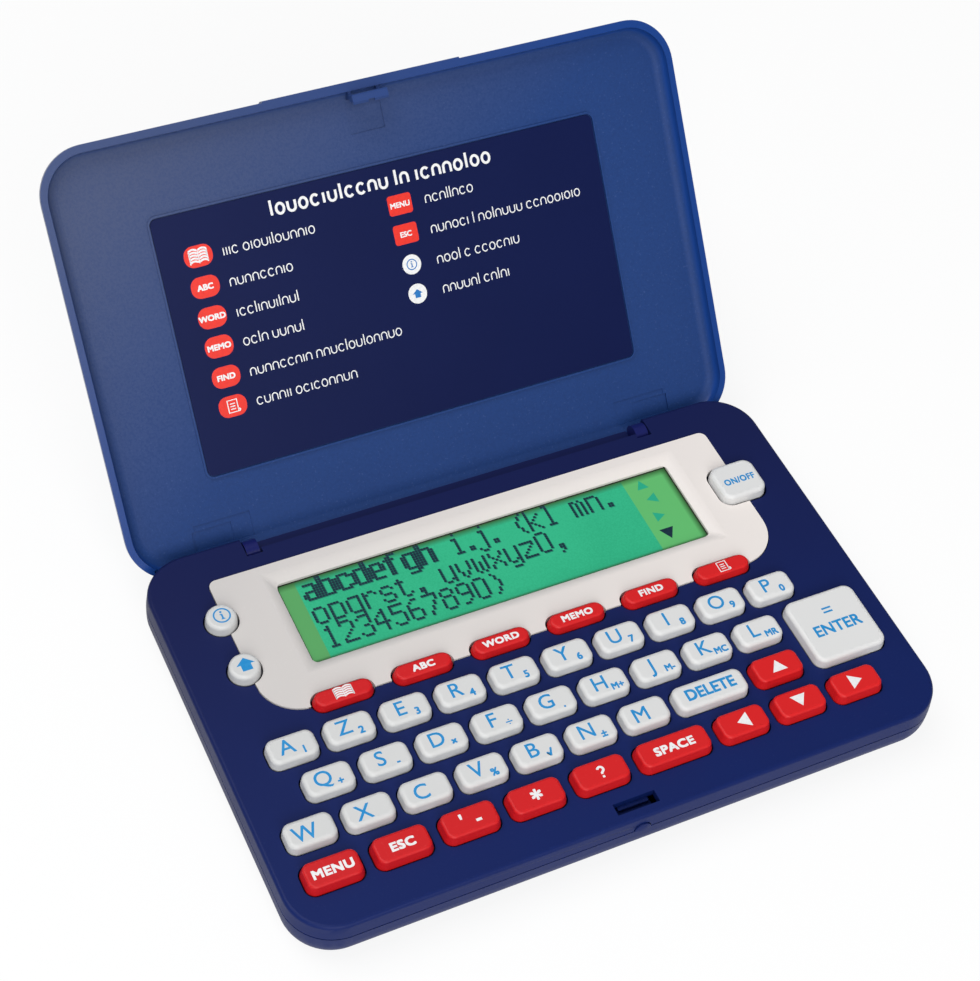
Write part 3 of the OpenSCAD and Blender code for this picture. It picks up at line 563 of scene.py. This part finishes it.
def roundedPlate(x, y, width, height, radius, steps=6):
    clear()
    bpy.ops.mesh.primitive_plane_add(size=1, location=(x, y, 0))
    plate = bpy.context.object
    plate.scale = (width, height, 1)
    bpy.ops.object.transform_apply(location=True, rotation=False, scale=True)
    bpy.ops.object.mode_set(mode="EDIT")
    bpy.ops.mesh.select_all(action="SELECT")
    bpy.ops.mesh.bevel(offset=radius, segments=steps, affect="VERTICES")
    bpy.ops.object.mode_set(mode="OBJECT")
    return thickened(plate)


def words(text, x, y, height, bold=0.0, stretch=1.0, spacing=1.0):
    # printed words, centred on x and standing height tall about y; bold ones are overprinted a little aside
    clear()
    bpy.ops.object.text_add()
    made = bpy.context.object
    made.data.body = text
    made.data.align_x = "CENTER"
    made.data.size = height / capitalHeight
    made.data.space_character = spacing
    made.data.resolution_u = 4
    made.data.fill_mode = "FRONT"
    made.location = (x, y - height / 2, 0)
    made.scale = (stretch, 1, 1)
    bpy.ops.object.convert(target="MESH")
    made = bpy.context.object
    bpy.ops.object.transform_apply(location=True, rotation=True, scale=True)
    bpy.ops.object.mode_set(mode="EDIT")
    bpy.ops.mesh.select_all(action="SELECT")
    bpy.ops.mesh.remove_doubles(threshold=1e-4)
    bpy.ops.object.mode_set(mode="OBJECT")
    made = thickened(made)
    if not bold:
        return made
    prints = [made]
    for number, (right, up) in enumerate([(1, 1), (1, -1), (-1, 1), (-1, -1)]):
        prints.append(copied(made, right * bold, up * bold))
        prints[-1].data.transform(Matrix.Translation((0, 0, -inkDepth["overprint"] * (number + 1))))
    return joined(prints)


def finished(piece, name, finish, placing, body):
    # puts a shape drawn flat in millimetres in its place, and hands it to its body
    piece.data.transform(placing)
    piece.name = name
    piece.data.name = name
    piece.data.materials.clear()
    piece.data.materials.append(finishes[finish].material)
    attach(piece, body)
    return piece


# Small pictures, drawn about a centre

def bookPicture(x, y, width, height):
    # an open book: two arched pages, with their lines left out as gaps
    rows = 5
    gap = height / rows * 0.32
    parts = []
    for side in (-1, 1):
        for row in range(rows):
            level = y + height * (row - (rows - 1) / 2) / rows
            path = []
            for step in range(7):
                share = step / 6
                lift = math.sin(share * math.pi) * height * 0.1
                path.append((x + side * width * (0.04 + 0.46 * share), level + lift))
            if side < 0:
                path.reverse()
            parts.append(ribbon(path, height / rows - gap))
        edge = x + side * width * 0.5
        parts.append(ribbon([(edge, y - height * 0.5), (edge, y + height * 0.42)], width * 0.06))
    parts.append(ribbon([(x, y - height * 0.5), (x, y + height * 0.42)], width * 0.06))
    return joined(parts)


def pagePicture(x, y, width, height):
    # a sheet of paper: an outline with a curled foot, and lines of writing
    left, right = x - width / 2, x + width / 2
    low, high = y - height / 2, y + height / 2
    stroke = width * 0.13
    edge = [(left, low), (left, high), (right, high), (right, low), (left, low)]
    foot = arc(right, low + stroke, width * 0.2, stroke, -90, 90, 6)
    parts = [ribbon(edge, stroke), ribbon(foot, stroke)]
    for row in range(3):
        level = y + height * (0.2 - 0.22 * row)
        parts.append(ribbon([(left + width * 0.24, level), (right - width * 0.24, level)], stroke * 0.8))
    return joined(parts)


def infoPicture(x, y, radius):
    ring = ribbon(arc(x, y, radius, radius, 0, 360, 36), radius * 0.2)
    dot = outline(arc(x, y + radius * 0.52, radius * 0.15, radius * 0.15, 0, 345, 23))
    foot = [(-0.22, -0.58), (0.26, -0.58), (0.26, -0.44), (0.12, -0.44), (0.12, 0.24), (-0.22, 0.24)]
    foot += [(-0.22, 0.1), (-0.1, 0.1), (-0.1, -0.44), (-0.22, -0.44)]
    stem = outline([(x + right * radius, y + up * radius) for right, up in foot])
    return joined([ring, dot, stem])


def shiftPicture(x, y, size):
    corners = [(-0.32, -0.45), (0.32, -0.45), (0.32, 0), (0.58, 0), (0, 0.5), (-0.58, 0), (-0.32, 0)]
    return outline([(x + right * size, y + up * size) for right, up in corners])


def questionPicture(x, y, height, stroke):
    radius = height * 0.24
    crown = arc(x, y + height * 0.22, radius, radius, 165, -60, 12)
    path = crown + [(x, y - height * 0.08), (x, y - height * 0.2)]
    dot = roundedPlate(x, y - height * 0.44, stroke, stroke, stroke * 0.2, 2)
    return joined([ribbon(path, stroke), dot])


def dividePicture(x, y, size, stroke):
    bar = ribbon([(x - size / 2, y), (x + size / 2, y)], stroke)
    dots = [roundedPlate(x, y + side * size * 0.36, stroke, stroke, stroke * 0.3, 2) for side in (-1, 1)]
    return joined([bar] + dots)


def arrowPicture(x, y, width, height, angle):
    turn = math.radians(angle)
    corners = [(0, height / 2), (-width / 2, -height / 2), (width / 2, -height / 2)]
    turned = [
        (x + right * math.cos(turn) - up * math.sin(turn), y + right * math.sin(turn) + up * math.cos(turn))
        for right, up in corners
    ]
    return outline(turned)


# Shapes drawn closer to the real ones than the CAD's own, each in its node's place

shapeLook = {
    "roundKeys": {"key_info": (-57.2, 25.5), "key_shift": (-57.2, 13.1)},
    "drawIn": 0.8, "keyShift": (0.15, 0.4), "keyReach": 6, "holeReach": 4.6, "deckBottom": 9.6,
    "ribFoot": (-42.9, 1.5), "ribReach": 4.6, "ribLift": 0.72,
    "windowX": 0.15, "windowY": 20.7, "slopeHalfWidth": 46.05, "slopeHalfDepth": 12.1,
    "mitreHalfWidth": 44.05, "mitreHalfDepth": 10.1, "bezelTop": 12.3, "slopeLow": 11.6,
    "narrowed": 0.8, "soft": 0.9, "softSteps": 6,
}


def nodeCopy(node, name, finish, body, wholly=False):
    # a merged copy of a CAD node that takes its place, with each level face made whole, or every flat face
    piece = bpy.data.objects.new(name, nodes[node].data.copy())
    bpy.context.scene.collection.objects.link(piece)
    only(piece)
    bpy.ops.object.mode_set(mode="EDIT")
    bpy.ops.mesh.select_all(action="SELECT")
    bpy.ops.mesh.remove_doubles(threshold=0.001 * mm)
    bpy.ops.mesh.select_mode(type="FACE")
    bpy.ops.mesh.select_all(action="DESELECT")
    bpy.ops.object.mode_set(mode="OBJECT")
    for face in piece.data.polygons:
        face.select = wholly or abs(face.normal.z) > 0.99999
    bpy.ops.object.mode_set(mode="EDIT")
    bpy.ops.mesh.dissolve_limited(angle_limit=math.radians(0.05))
    bpy.ops.mesh.select_mode(type="VERT")
    bpy.ops.object.mode_set(mode="OBJECT")
    finished(piece, name, finish, Matrix.Identity(4), body)
    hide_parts(node)
    return piece


def pickVertices(piece, chosen):
    # leaves the piece in edit mode with only the chosen corners selected
    only(piece)
    bpy.ops.object.mode_set(mode="EDIT")
    bpy.ops.mesh.select_mode(type="VERT")
    bpy.ops.mesh.select_all(action="DESELECT")
    bpy.ops.object.mode_set(mode="OBJECT")
    for vertex in piece.data.vertices:
        vertex.select = chosen(vertex.co / mm)
    bpy.ops.object.mode_set(mode="EDIT")


def drawIn(piece, centre, reach, low, look):
    # draws the rings of corners about a key's axis in towards it, and moves them a little
    middle = Vector(centre)
    factor = look["drawIn"]
    pickVertices(piece, lambda point: (point.xy - middle).length < reach and point.z > low)
    bpy.ops.transform.resize(value=(factor, factor, 1), center_override=(centre[0] * mm, centre[1] * mm, 0))
    bpy.ops.transform.translate(value=(look["keyShift"][0] * mm, look["keyShift"][1] * mm, 0))
    bpy.ops.object.mode_set(mode="OBJECT")


def near(value, target):
    return abs(value - target) < 0.05


def softenWindow(piece, look):
    # the slope round the window is narrower at the front and left, and its edges are rounded over
    x, y = look["windowX"], look["windowY"]
    wide, deep = look["slopeHalfWidth"], look["slopeHalfDepth"]

    def outer(point):
        onCorner = near(abs(point.x - x), wide) and near(abs(point.y - y), deep)
        return near(point.z, look["bezelTop"]) and onCorner

    pickVertices(piece, lambda point: outer(point) and point.y < y)
    bpy.ops.transform.translate(value=(0, look["narrowed"] * mm, 0))
    front = y - deep + look["narrowed"]
    left = x - wide + look["narrowed"]
    bpy.ops.object.mode_set(mode="OBJECT")

    def leftCorner(point):
        onRow = near(point.y, front) or near(point.y, y + deep)
        return near(point.z, look["bezelTop"]) and near(point.x, x - wide) and onRow

    pickVertices(piece, leftCorner)
    bpy.ops.transform.translate(value=(look["narrowed"] * mm, 0, 0))
    bpy.ops.object.mode_set(mode="OBJECT")

    def slopeCorner(point):
        onTop = near(point.z, look["bezelTop"]) and (near(point.x, left) or near(point.x, x + wide))
        onTop = onTop and (near(point.y, front) or near(point.y, y + deep))
        low = near(point.z, look["slopeLow"]) and near(abs(point.x - x), look["mitreHalfWidth"])
        return onTop or (low and near(abs(point.y - y), look["mitreHalfDepth"]))

    pickVertices(piece, lambda point: False)
    bpy.ops.mesh.select_mode(type="EDGE")
    bpy.ops.mesh.select_all(action="DESELECT")
    bpy.ops.object.mode_set(mode="OBJECT")
    corners = piece.data.vertices
    picked = 0
    for edge in piece.data.edges:
        ends = [corners[index].co / mm for index in edge.vertices]
        highest = max(end.z for end in ends)
        if slopeCorner(ends[0]) and slopeCorner(ends[1]) and highest > look["bezelTop"] - 0.1:
            edge.select = True
            picked += 1
    bpy.ops.object.mode_set(mode="EDIT")
    bpy.ops.mesh.bevel(offset=look["soft"] * mm, segments=look["softSteps"], affect="EDGES")
    bpy.ops.object.mode_set(mode="OBJECT")
    print("window slope softened,", picked, "edges")


def trimRibs(piece, look):
    # the foot of the button's two guide ribs is lifted into the rounded belly
    depth, low = look["ribFoot"]

    def ribFoot(point):
        return near(point.y, depth) and near(point.z, low) and abs(point.x) < look["ribReach"]

    pickVertices(piece, ribFoot)
    picked = sum(vertex.select for vertex in piece.data.vertices)
    bpy.ops.transform.translate(value=(0, 0, look["ribLift"] * mm))
    bpy.ops.mesh.select_all(action="SELECT")
    bpy.ops.mesh.remove_doubles(threshold=0.01 * mm)
    bpy.ops.object.mode_set(mode="OBJECT")
    print("ribs trimmed at", picked, "corners")


def makeShapes(look):
    bezel = nodeCopy("display_bezel", "bezel_soft", "bezel", "base", True)
    case = nodeCopy("upper_case", "deck_case", "deck", "base")
    for node, centre in look["roundKeys"].items():
        cap = nodeCopy(node, node + "_cap", "whiteKey", node + "_body")
        drawIn(cap, centre, look["keyReach"], 0, look)
        drawIn(bezel, centre, look["holeReach"], 0, look)
        drawIn(case, centre, look["holeReach"], look["deckBottom"], look)
    softenWindow(bezel, look)
    belly = nodeCopy("lower_case", "belly_case", "deck", "base")
    trimRibs(belly, look)


makeShapes(shapeLook)
print("shapes drawn")


# Key legends

legendLook = {
    "letterHeight": 3.3, "letterX": -1.1, "letterY": 0.3, "loneY": -0.2, "letterBold": 0.035,
    "signHeight": 1.6, "signX": 1.9, "signY": -1.35, "signBold": 0.08,
    "wordHeight": 1.8, "wordBold": 0.11, "wordStretch": 1.15, "wordSpacing": 1.08, "wordY": -0.1,
    "pillHeight": 1.45, "pillBold": 0.09,
    "arrowWidth": 3.3, "arrowHeight": 2.6, "arrowY": -0.05,
    "pairHeight": 1.45, "pairShift": 0.25, "divideRise": 0.1, "divideSize": 1.35, "divideStroke": 0.26,
    "questionHeight": 2.4, "questionStroke": 0.48,
    "quoteAt": (-1.6, 0.1), "dashAt": (1.5, -0.2), "quoteScale": 1.5, "starAt": (0, -0.6), "starScale": 2,
    # x, y, height, boldness, stretch and spacing
    "clearWord": ("DELETE", 0, 0.2, 2.5, 0.11, 0.95),
    "powerWord": ("ON/OFF", 0.1, -0.3, 1.55, 0.07, 0.86, 1.1),
    "equalsWord": ("=", 0, 3.3, 3.1, 0.03), "enterWord": ("ENTER", 0, -0.8, 2.6, 0.09),
    # x, y and the size across, or the width and height
    "book": (0, 0, 3.6, 2.4), "page": (0, 0, 2, 2.3), "info": (0.3, 0.5, 1.6), "shift": (0.4, 0.5, 3.2),
}
letterKeys = {
    "a": ("A", "1"), "z": ("Z", "2"), "e": ("E", "3"), "r_letter": ("R", "4"), "t": ("T", "5"),
    "y": ("Y", "6"), "u": ("U", "7"), "i": ("I", "8"), "o": ("O", "9"), "p": ("P", "0"),
    "q": ("Q", "+"), "s": ("S", "-"), "d_letter": ("D", "×"), "f": ("F", "÷"), "g": ("G", "."),
    "h": ("H", "M+"), "j": ("J", "M-"), "k": ("K", "MC"), "l": ("L", "MR"),
    "w_letter": ("W", ""), "x": ("X", ""), "c": ("C", ""), "v": ("V", "%"), "b": ("B", "√"),
    "n": ("N", "±"), "m": ("M", ""),
}
wordKeys = {"control": "MENU", "escape": "ESC", "space": "SPACE"}
pillKeys = {"words": "ABC", "verbs": "WORD", "list": "MEMO", "index": "FIND"}
arrowKeys = {"up": 0, "left": 90, "down": 180, "right": 270}


def topOf(node):
    # the middle of a key's flat top
    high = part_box(node)[1].z
    flat = [vertex.co for vertex in nodes[node].data.vertices if vertex.co.z > high - 0.02 * mm]
    across = [point.x for point in flat]
    along = [point.y for point in flat]
    return Vector(((min(across) + max(across)) / 2, (min(along) + max(along)) / 2, high))


def onKey(node):
    return Matrix.Translation(topOf(node)) @ Matrix.Scale(mm, 4)


def addLegend(name, parts, ink):
    node = "key_" + name
    finished(joined(parts), "legend_" + name, ink, onKey(node), node + "_body")


def makeLegends(look):
    for name, (letter, sign) in letterKeys.items():
        rise = look["letterY"] if sign else look["loneY"]
        parts = [words(letter, look["letterX"], rise, look["letterHeight"], look["letterBold"])]
        if sign == "÷":
            rise = look["signY"] + look["divideRise"]
            parts.append(dividePicture(look["signX"], rise, look["divideSize"], look["divideStroke"]))
        elif sign:
            shift = look["signX"] + (look["pairShift"] if len(sign) > 1 else 0)
            height = look["pairHeight"] if len(sign) > 1 else look["signHeight"]
            parts.append(words(sign, shift, look["signY"], height, look["signBold"]))
        addLegend(name, parts, "blueInk")
    for name, text in wordKeys.items():
        sizes = (look["wordHeight"], look["wordBold"], look["wordStretch"], look["wordSpacing"])
        made = words(text, 0, look["wordY"], *sizes)
        addLegend(name, [made], "whiteInk")
    made = questionPicture(0, look["wordY"], look["questionHeight"], look["questionStroke"])
    addLegend("query", [made], "whiteInk")
    for name, text in pillKeys.items():
        sizes = (look["pillHeight"], look["pillBold"], look["wordStretch"], look["wordSpacing"])
        made = words(text, 0, 0, *sizes)
        addLegend(name, [made], "whiteInk")
    for name, angle in arrowKeys.items():
        made = arrowPicture(0, look["arrowY"], look["arrowWidth"], look["arrowHeight"], angle)
        addLegend(name, [made], "whiteInk")
    quoteHeight = look["wordHeight"] * look["quoteScale"]
    quote = words("'", *look["quoteAt"], quoteHeight, look["wordBold"])
    dash = words("-", *look["dashAt"], quoteHeight, look["wordBold"])
    addLegend("quote", [quote, dash], "whiteInk")
    starHeight = look["wordHeight"] * look["starScale"]
    addLegend("star", [words("*", *look["starAt"], starHeight, look["wordBold"])], "whiteInk")
    addLegend("clear", [words(*look["clearWord"])], "blueInk")
    addLegend("enter", [words(*look["equalsWord"]), words(*look["enterWord"])], "blueInk")
    addLegend("book", [bookPicture(*look["book"])], "whiteInk")
    addLegend("notes", [pagePicture(*look["page"])], "whiteInk")
    addLegend("info", [infoPicture(*look["info"])], "blueInk")
    addLegend("shift", [shiftPicture(*look["shift"])], "blueInk")
    addLegend("power", [words(*look["powerWord"])], "blueInk")


makeLegends(legendLook)
print("key legends printed")


# Display content: a run of the alphabet and the digits in a dot-matrix face

dotFace = {
    "a": "00e11fhhf00", "b": "gguhhhhhu00", "c": "00ehggghe00", "d": "11fhhhhhf00",
    "e": "00ehhvgge00", "f": "68s88888800", "g": "00fhhhhhf1e", "h": "gguhhhhhh00",
    "i": "40c44444e00", "j": "206222222ic", "k": "gghikokih00", "l": "c4444444e00",
    "m": "00qllllll00", "n": "00uhhhhhh00", "o": "00ehhhhhe00", "p": "00uhhhhhugg",
    "q": "00fhhhhhf11", "r": "00mpggggg00", "s": "00ehge1he00", "t": "08s88889600",
    "u": "00hhhhhjd00", "v": "00hhhhaa400", "w": "00hhlllla00", "x": "00hha4ahh00",
    "y": "00hhhhhjd1e", "z": "00v1248gv00", "(": "24488844200", ")": "84422244800",
    ",": "0000000cc48", ".": "0000000cc00", " ": "0" * 11,
    "0": "ehhhhhhhe00", "1": "4c444444e00", "2": "eh11248gv00", "3": "eh11611he00",
    "4": "26aiiv22200", "5": "vggu111he00", "6": "68gguhhhe00", "7": "v1122448800",
    "8": "ehhehhhhe00", "9": "ehhhf112c00",
}
dotLook = {
    "pitch": 0.6, "size": 0.56, "left": -39.3, "top": 30.2, "linePitch": 10, "glassTop": 10.95,
    "lines": ["*abcdefgh i.j. (kl mn.", "opqrst, uvwxyz0,", "1234567890)"],
    "narrow": {".": 4, ",": 4, "(": 5, ")": 5, "i": 5, "l": 5, "j": 5},
    "shadow": (0.16, -0.2),
    "corner": 0.07, "shadowDrop": 0.006, "markWidth": 2.6, "markHeight": 2.3,
    "marks": [(37.2, 28.2, 0), (37.6, 24.1, 90), (37.1, 19.4, 270)],
    "lastMark": (36.7, 14.6, 3.2, 2.8, 180),
}


def dotPlaces(look):
    # every lit dot as (column, row); a line that starts with a star has its first word in bold
    lit = set()
    for number, line in enumerate(look["lines"]):
        bold = line.startswith("*")
        column = 0
        for sign in line.lstrip("*"):
            if sign == " ":
                bold = False
            for row, bits in enumerate(dotFace[sign]):
                for bit in range(5):
                    if int(bits, 32) >> (4 - bit) & 1:
                        level = number * look["linePitch"] + row
                        lit.add((column + bit, level))
                        if bold:
                            lit.add((column + bit + 1, level))
            column += 6 if bold else look["narrow"].get(sign, 6)
    return sorted(lit)


def makeDisplay(look):
    lit = dotPlaces(look)
    dot = roundedPlate(0, 0, look["size"], look["size"], look["corner"], 1)
    glass = Matrix.Scale(mm, 4) @ Matrix.Translation((0, 0, look["glassTop"]))
    shadows = []
    dots = []
    for column, row in lit:
        x = look["left"] + column * look["pitch"]
        y = look["top"] - row * look["pitch"]
        dots.append(copied(dot, x, y))
        # each lit dot gets a painted shadow: a darker teal copy, offset and sunk a little below it
        shadows.append(copied(dot, x + look["shadow"][0], y + look["shadow"][1]))
    bpy.data.objects.remove(dot)
    lower = Matrix.Translation((0, 0, -look["shadowDrop"] * mm))
    finished(joined(shadows), "display_dot_shadow", "paintedShadow", lower @ glass, "base")
    finished(joined(dots), "display_dots", "dotInk", glass, "base")
    across, high = look["markWidth"], look["markHeight"]
    marks = [arrowPicture(x, y, across, high, angle) for x, y, angle in look["marks"]]
    finished(joined(marks), "display_marks", "mintInk", glass, "base")
    last = arrowPicture(*look["lastMark"])
    finished(last, "display_mark_down", "dotInk", glass, "base")


makeDisplay(dotLook)
print("display written")


# Label graphics: plain pills and discs with small pictures, and dummy lines in place of the print

labelPrint = {
    "pillX": -40.3, "pillWidth": 5.9, "pillHeight": 4.3, "pillRadius": 1.9,
    "pillRows": [17.65, 11.4, 5.2, -0.8, -7.05, -13.15],
    "tagX": 3.1, "tagWidth": 5.2, "tagHeight": 4.1, "tagRadius": 0.6, "tagRows": [17.85, 11.75],
    "discX": 3.0, "discRadius": 2.05, "discRows": [5.35, -0.8],
    "pillWords": ["", "ABC", "WORD", "MEMO", "FIND", ""], "tagWords": ["MENU", "ESC"],
    "pillWord": (1.15, 0.07, 1.1), "tagWord": (1.1, 0.05, 1.05),
    "book": (3.7, 2.9), "page": (2, 2.5), "info": 1.05, "shift": 1.9, "upperPrint": 0.01,
    "lineX": -35.3, "lineHeight": 1.5, "lineStroke": 0.23, "lineDrop": 0.4,
    "lines": [[4, 12], [9], [12], [4, 5], [9, 13], [6, 9]],
    "sideX": 8.6, "sideLines": [[8], [6, 1, 7, 9], [4, 1, 7], [6, 5]],
    "sideRows": [18.0, 11.7, 5.3, -0.9],
    "title": [12, 2, 8], "titleX": -24.2, "titleY": 22.9, "titleHeight": 2.05, "titleStroke": 0.55,
    "seed": 11,
}


def dummyShapes(height, stroke):
    # letter-like marks that spell nothing: an arch, a cup, a ring, a post and an open ring
    half = height * 0.38
    shapes = {}
    crown = arc(0, height / 2 - half, half, half, 180, 0, 8)
    bowl = arc(0, half - height / 2, half, half, 180, 360, 8)
    arch = [(-half, -height / 2)] + crown + [(half, -height / 2)]
    cup = [(-half, height / 2)] + bowl + [(half, height / 2)]
    shapes["arch"] = (ribbon(arch, stroke), half)
    shapes["cup"] = (ribbon(cup, stroke), half)
    shapes["ring"] = (ribbon(arc(0, 0, half * 1.05, height / 2, 0, 360, 18), stroke), half * 1.05)
    shapes["open"] = (ribbon(arc(0, 0, half * 1.05, height / 2, 40, 320, 14), stroke), half * 1.05)
    shapes["post"] = (ribbon([(0, -height / 2), (0, height * 0.98)], stroke), stroke * 0.35)
    shapes["stub"] = (ribbon([(0, -height / 2), (0, height / 2)], stroke), stroke * 0.35)
    return shapes


def dummyLine(shapes, counts, x, y, height, stroke, draw):
    # one line of dummy words, each with as many marks as its count
    marks = []
    kinds = ["arch", "cup", "ring", "open", "post", "ring", "arch", "stub"]
    for count in counts:
        for _ in range(count):
            piece, half = shapes[draw.choice(kinds)]
            x += half + stroke / 2
            marks.append(copied(piece, x, y))
            x += half + stroke / 2 + height * 0.16
        x += height * 0.45
    return marks


def removeShapes(shapes):
    for piece, half in shapes.values():
        bpy.data.objects.remove(piece)


def makeLabel(look):
    film = onLabel
    draw = random.Random(look["seed"])
    plates = [
        roundedPlate(look["pillX"], y, look["pillWidth"], look["pillHeight"], look["pillRadius"])
        for y in look["pillRows"]
    ]
    plates += [
        roundedPlate(look["tagX"], y, look["tagWidth"], look["tagHeight"], look["tagRadius"])
        for y in look["tagRows"]
    ]
    finished(joined(plates), "label_pills", "redInk", film, "lid")
    discs = [
        outline(arc(look["discX"], y, look["discRadius"], look["discRadius"], 0, 352, 44))
        for y in look["discRows"]
    ]
    finished(joined(discs), "label_discs", "whiteInk", film, "lid")
    upper = film @ Matrix.Translation((0, 0, look["upperPrint"]))
    small = []
    for text, y in zip(look["pillWords"], look["pillRows"]):
        if text:
            small.append(words(text, look["pillX"], y, *look["pillWord"]))
    for text, y in zip(look["tagWords"], look["tagRows"]):
        small.append(words(text, look["tagX"], y, *look["tagWord"]))
    small.append(bookPicture(look["pillX"], look["pillRows"][0], *look["book"]))
    small.append(pagePicture(look["pillX"], look["pillRows"][-1], *look["page"]))
    finished(joined(small), "label_pill_print", "whiteInk", upper, "lid")
    marks = [infoPicture(look["discX"], look["discRows"][0], look["info"])]
    marks.append(shiftPicture(look["discX"], look["discRows"][1], look["shift"]))
    finished(joined(marks), "label_disc_print", "darkBlueInk", upper, "lid")

    shapes = dummyShapes(look["lineHeight"], look["lineStroke"])
    sizes = (look["lineHeight"], look["lineStroke"], draw)
    lines = []
    for counts, y in zip(look["lines"], look["pillRows"]):
        lines += dummyLine(shapes, counts, look["lineX"], y - look["lineDrop"], *sizes)
    for counts, y in zip(look["sideLines"], look["sideRows"]):
        lines += dummyLine(shapes, counts, look["sideX"], y - look["lineDrop"], *sizes)
    removeShapes(shapes)
    finished(joined(lines), "label_lines", "whiteInk", film, "lid")
    shapes = dummyShapes(look["titleHeight"], look["titleStroke"])
    sizes = (look["titleHeight"], look["titleStroke"], draw)
    title = dummyLine(shapes, look["title"], look["titleX"], look["titleY"], *sizes)
    removeShapes(shapes)
    finished(joined(title), "label_title", "whiteInk", film, "lid")


makeLabel(labelPrint)
print("label printed")


# Floor and light

stageLook = {
    "floorSize": 8, "floorDrop": 0.05, "floorColour": paint(246, 246, 246), "floorRough": 0.9,
    "floorGlow": 0.85, "aim": (0, 0.02, 0),
    "worldColour": (0.95, 0.97, 1, 1), "worldStrength": 0.24,
    "lamps": [
        {"name": "key", "place": (-0.45, 0.3, 1.3), "size": 1.1, "power": 11},
        {"name": "fill", "place": (-0.3, -1, 0.75), "size": 1.1, "power": 12},
    ],
}


def makeStage(look):
    clear()
    bpy.ops.mesh.primitive_plane_add(size=look["floorSize"], location=(0, 0, -look["floorDrop"] * mm))
    floor = bpy.context.object
    floor.name = "floor"
    finish = Finish("paleFloor", {"Base Color": look["floorColour"], "Roughness": look["floorRough"]})
    path = finish.node("LightPath", {}, {}, "Is Camera Ray")
    seen = path + Wire(finish, path.socket.node.outputs["Is Glossy Ray"])
    seen = seen + Wire(finish, path.socket.node.outputs["Is Transmission Ray"])
    seen = finish.node("Clamp", {}, {0: seen})
    glow = finish.node("Emission", {}, {"Color": (1, 1, 1, 1), "Strength": 1})
    blend = finish.node("MixShader", {}, {0: seen * look["floorGlow"], 2: glow})
    finish.tree.links.new(finish.shader.outputs[0], blend.socket.node.inputs[1])
    out = finish.tree.nodes["Material Output"]
    finish.tree.links.new(blend.socket, out.inputs["Surface"])
    floor.data.materials.append(finish.material)
    world = bpy.data.worlds.new("studio")
    world.use_nodes = True
    background = world.node_tree.nodes["Background"]
    background.inputs["Color"].default_value = look["worldColour"]
    background.inputs["Strength"].default_value = look["worldStrength"]
    bpy.context.scene.world = world
    for lamp in look["lamps"]:
        data = bpy.data.lights.new(lamp["name"], "AREA")
        data.shape = "DISK"
        data.size = lamp["size"]
        data.energy = lamp["power"]
        light = bpy.data.objects.new(lamp["name"], data)
        bpy.context.scene.collection.objects.link(light)
        light.location = lamp["place"]
        heading = Vector(look["aim"]) - light.location
        light.rotation_euler = heading.to_track_quat("-Z", "Y").to_euler()


makeStage(stageLook)
bpy.context.scene.view_settings.view_transform = "Standard"
print("stage set")
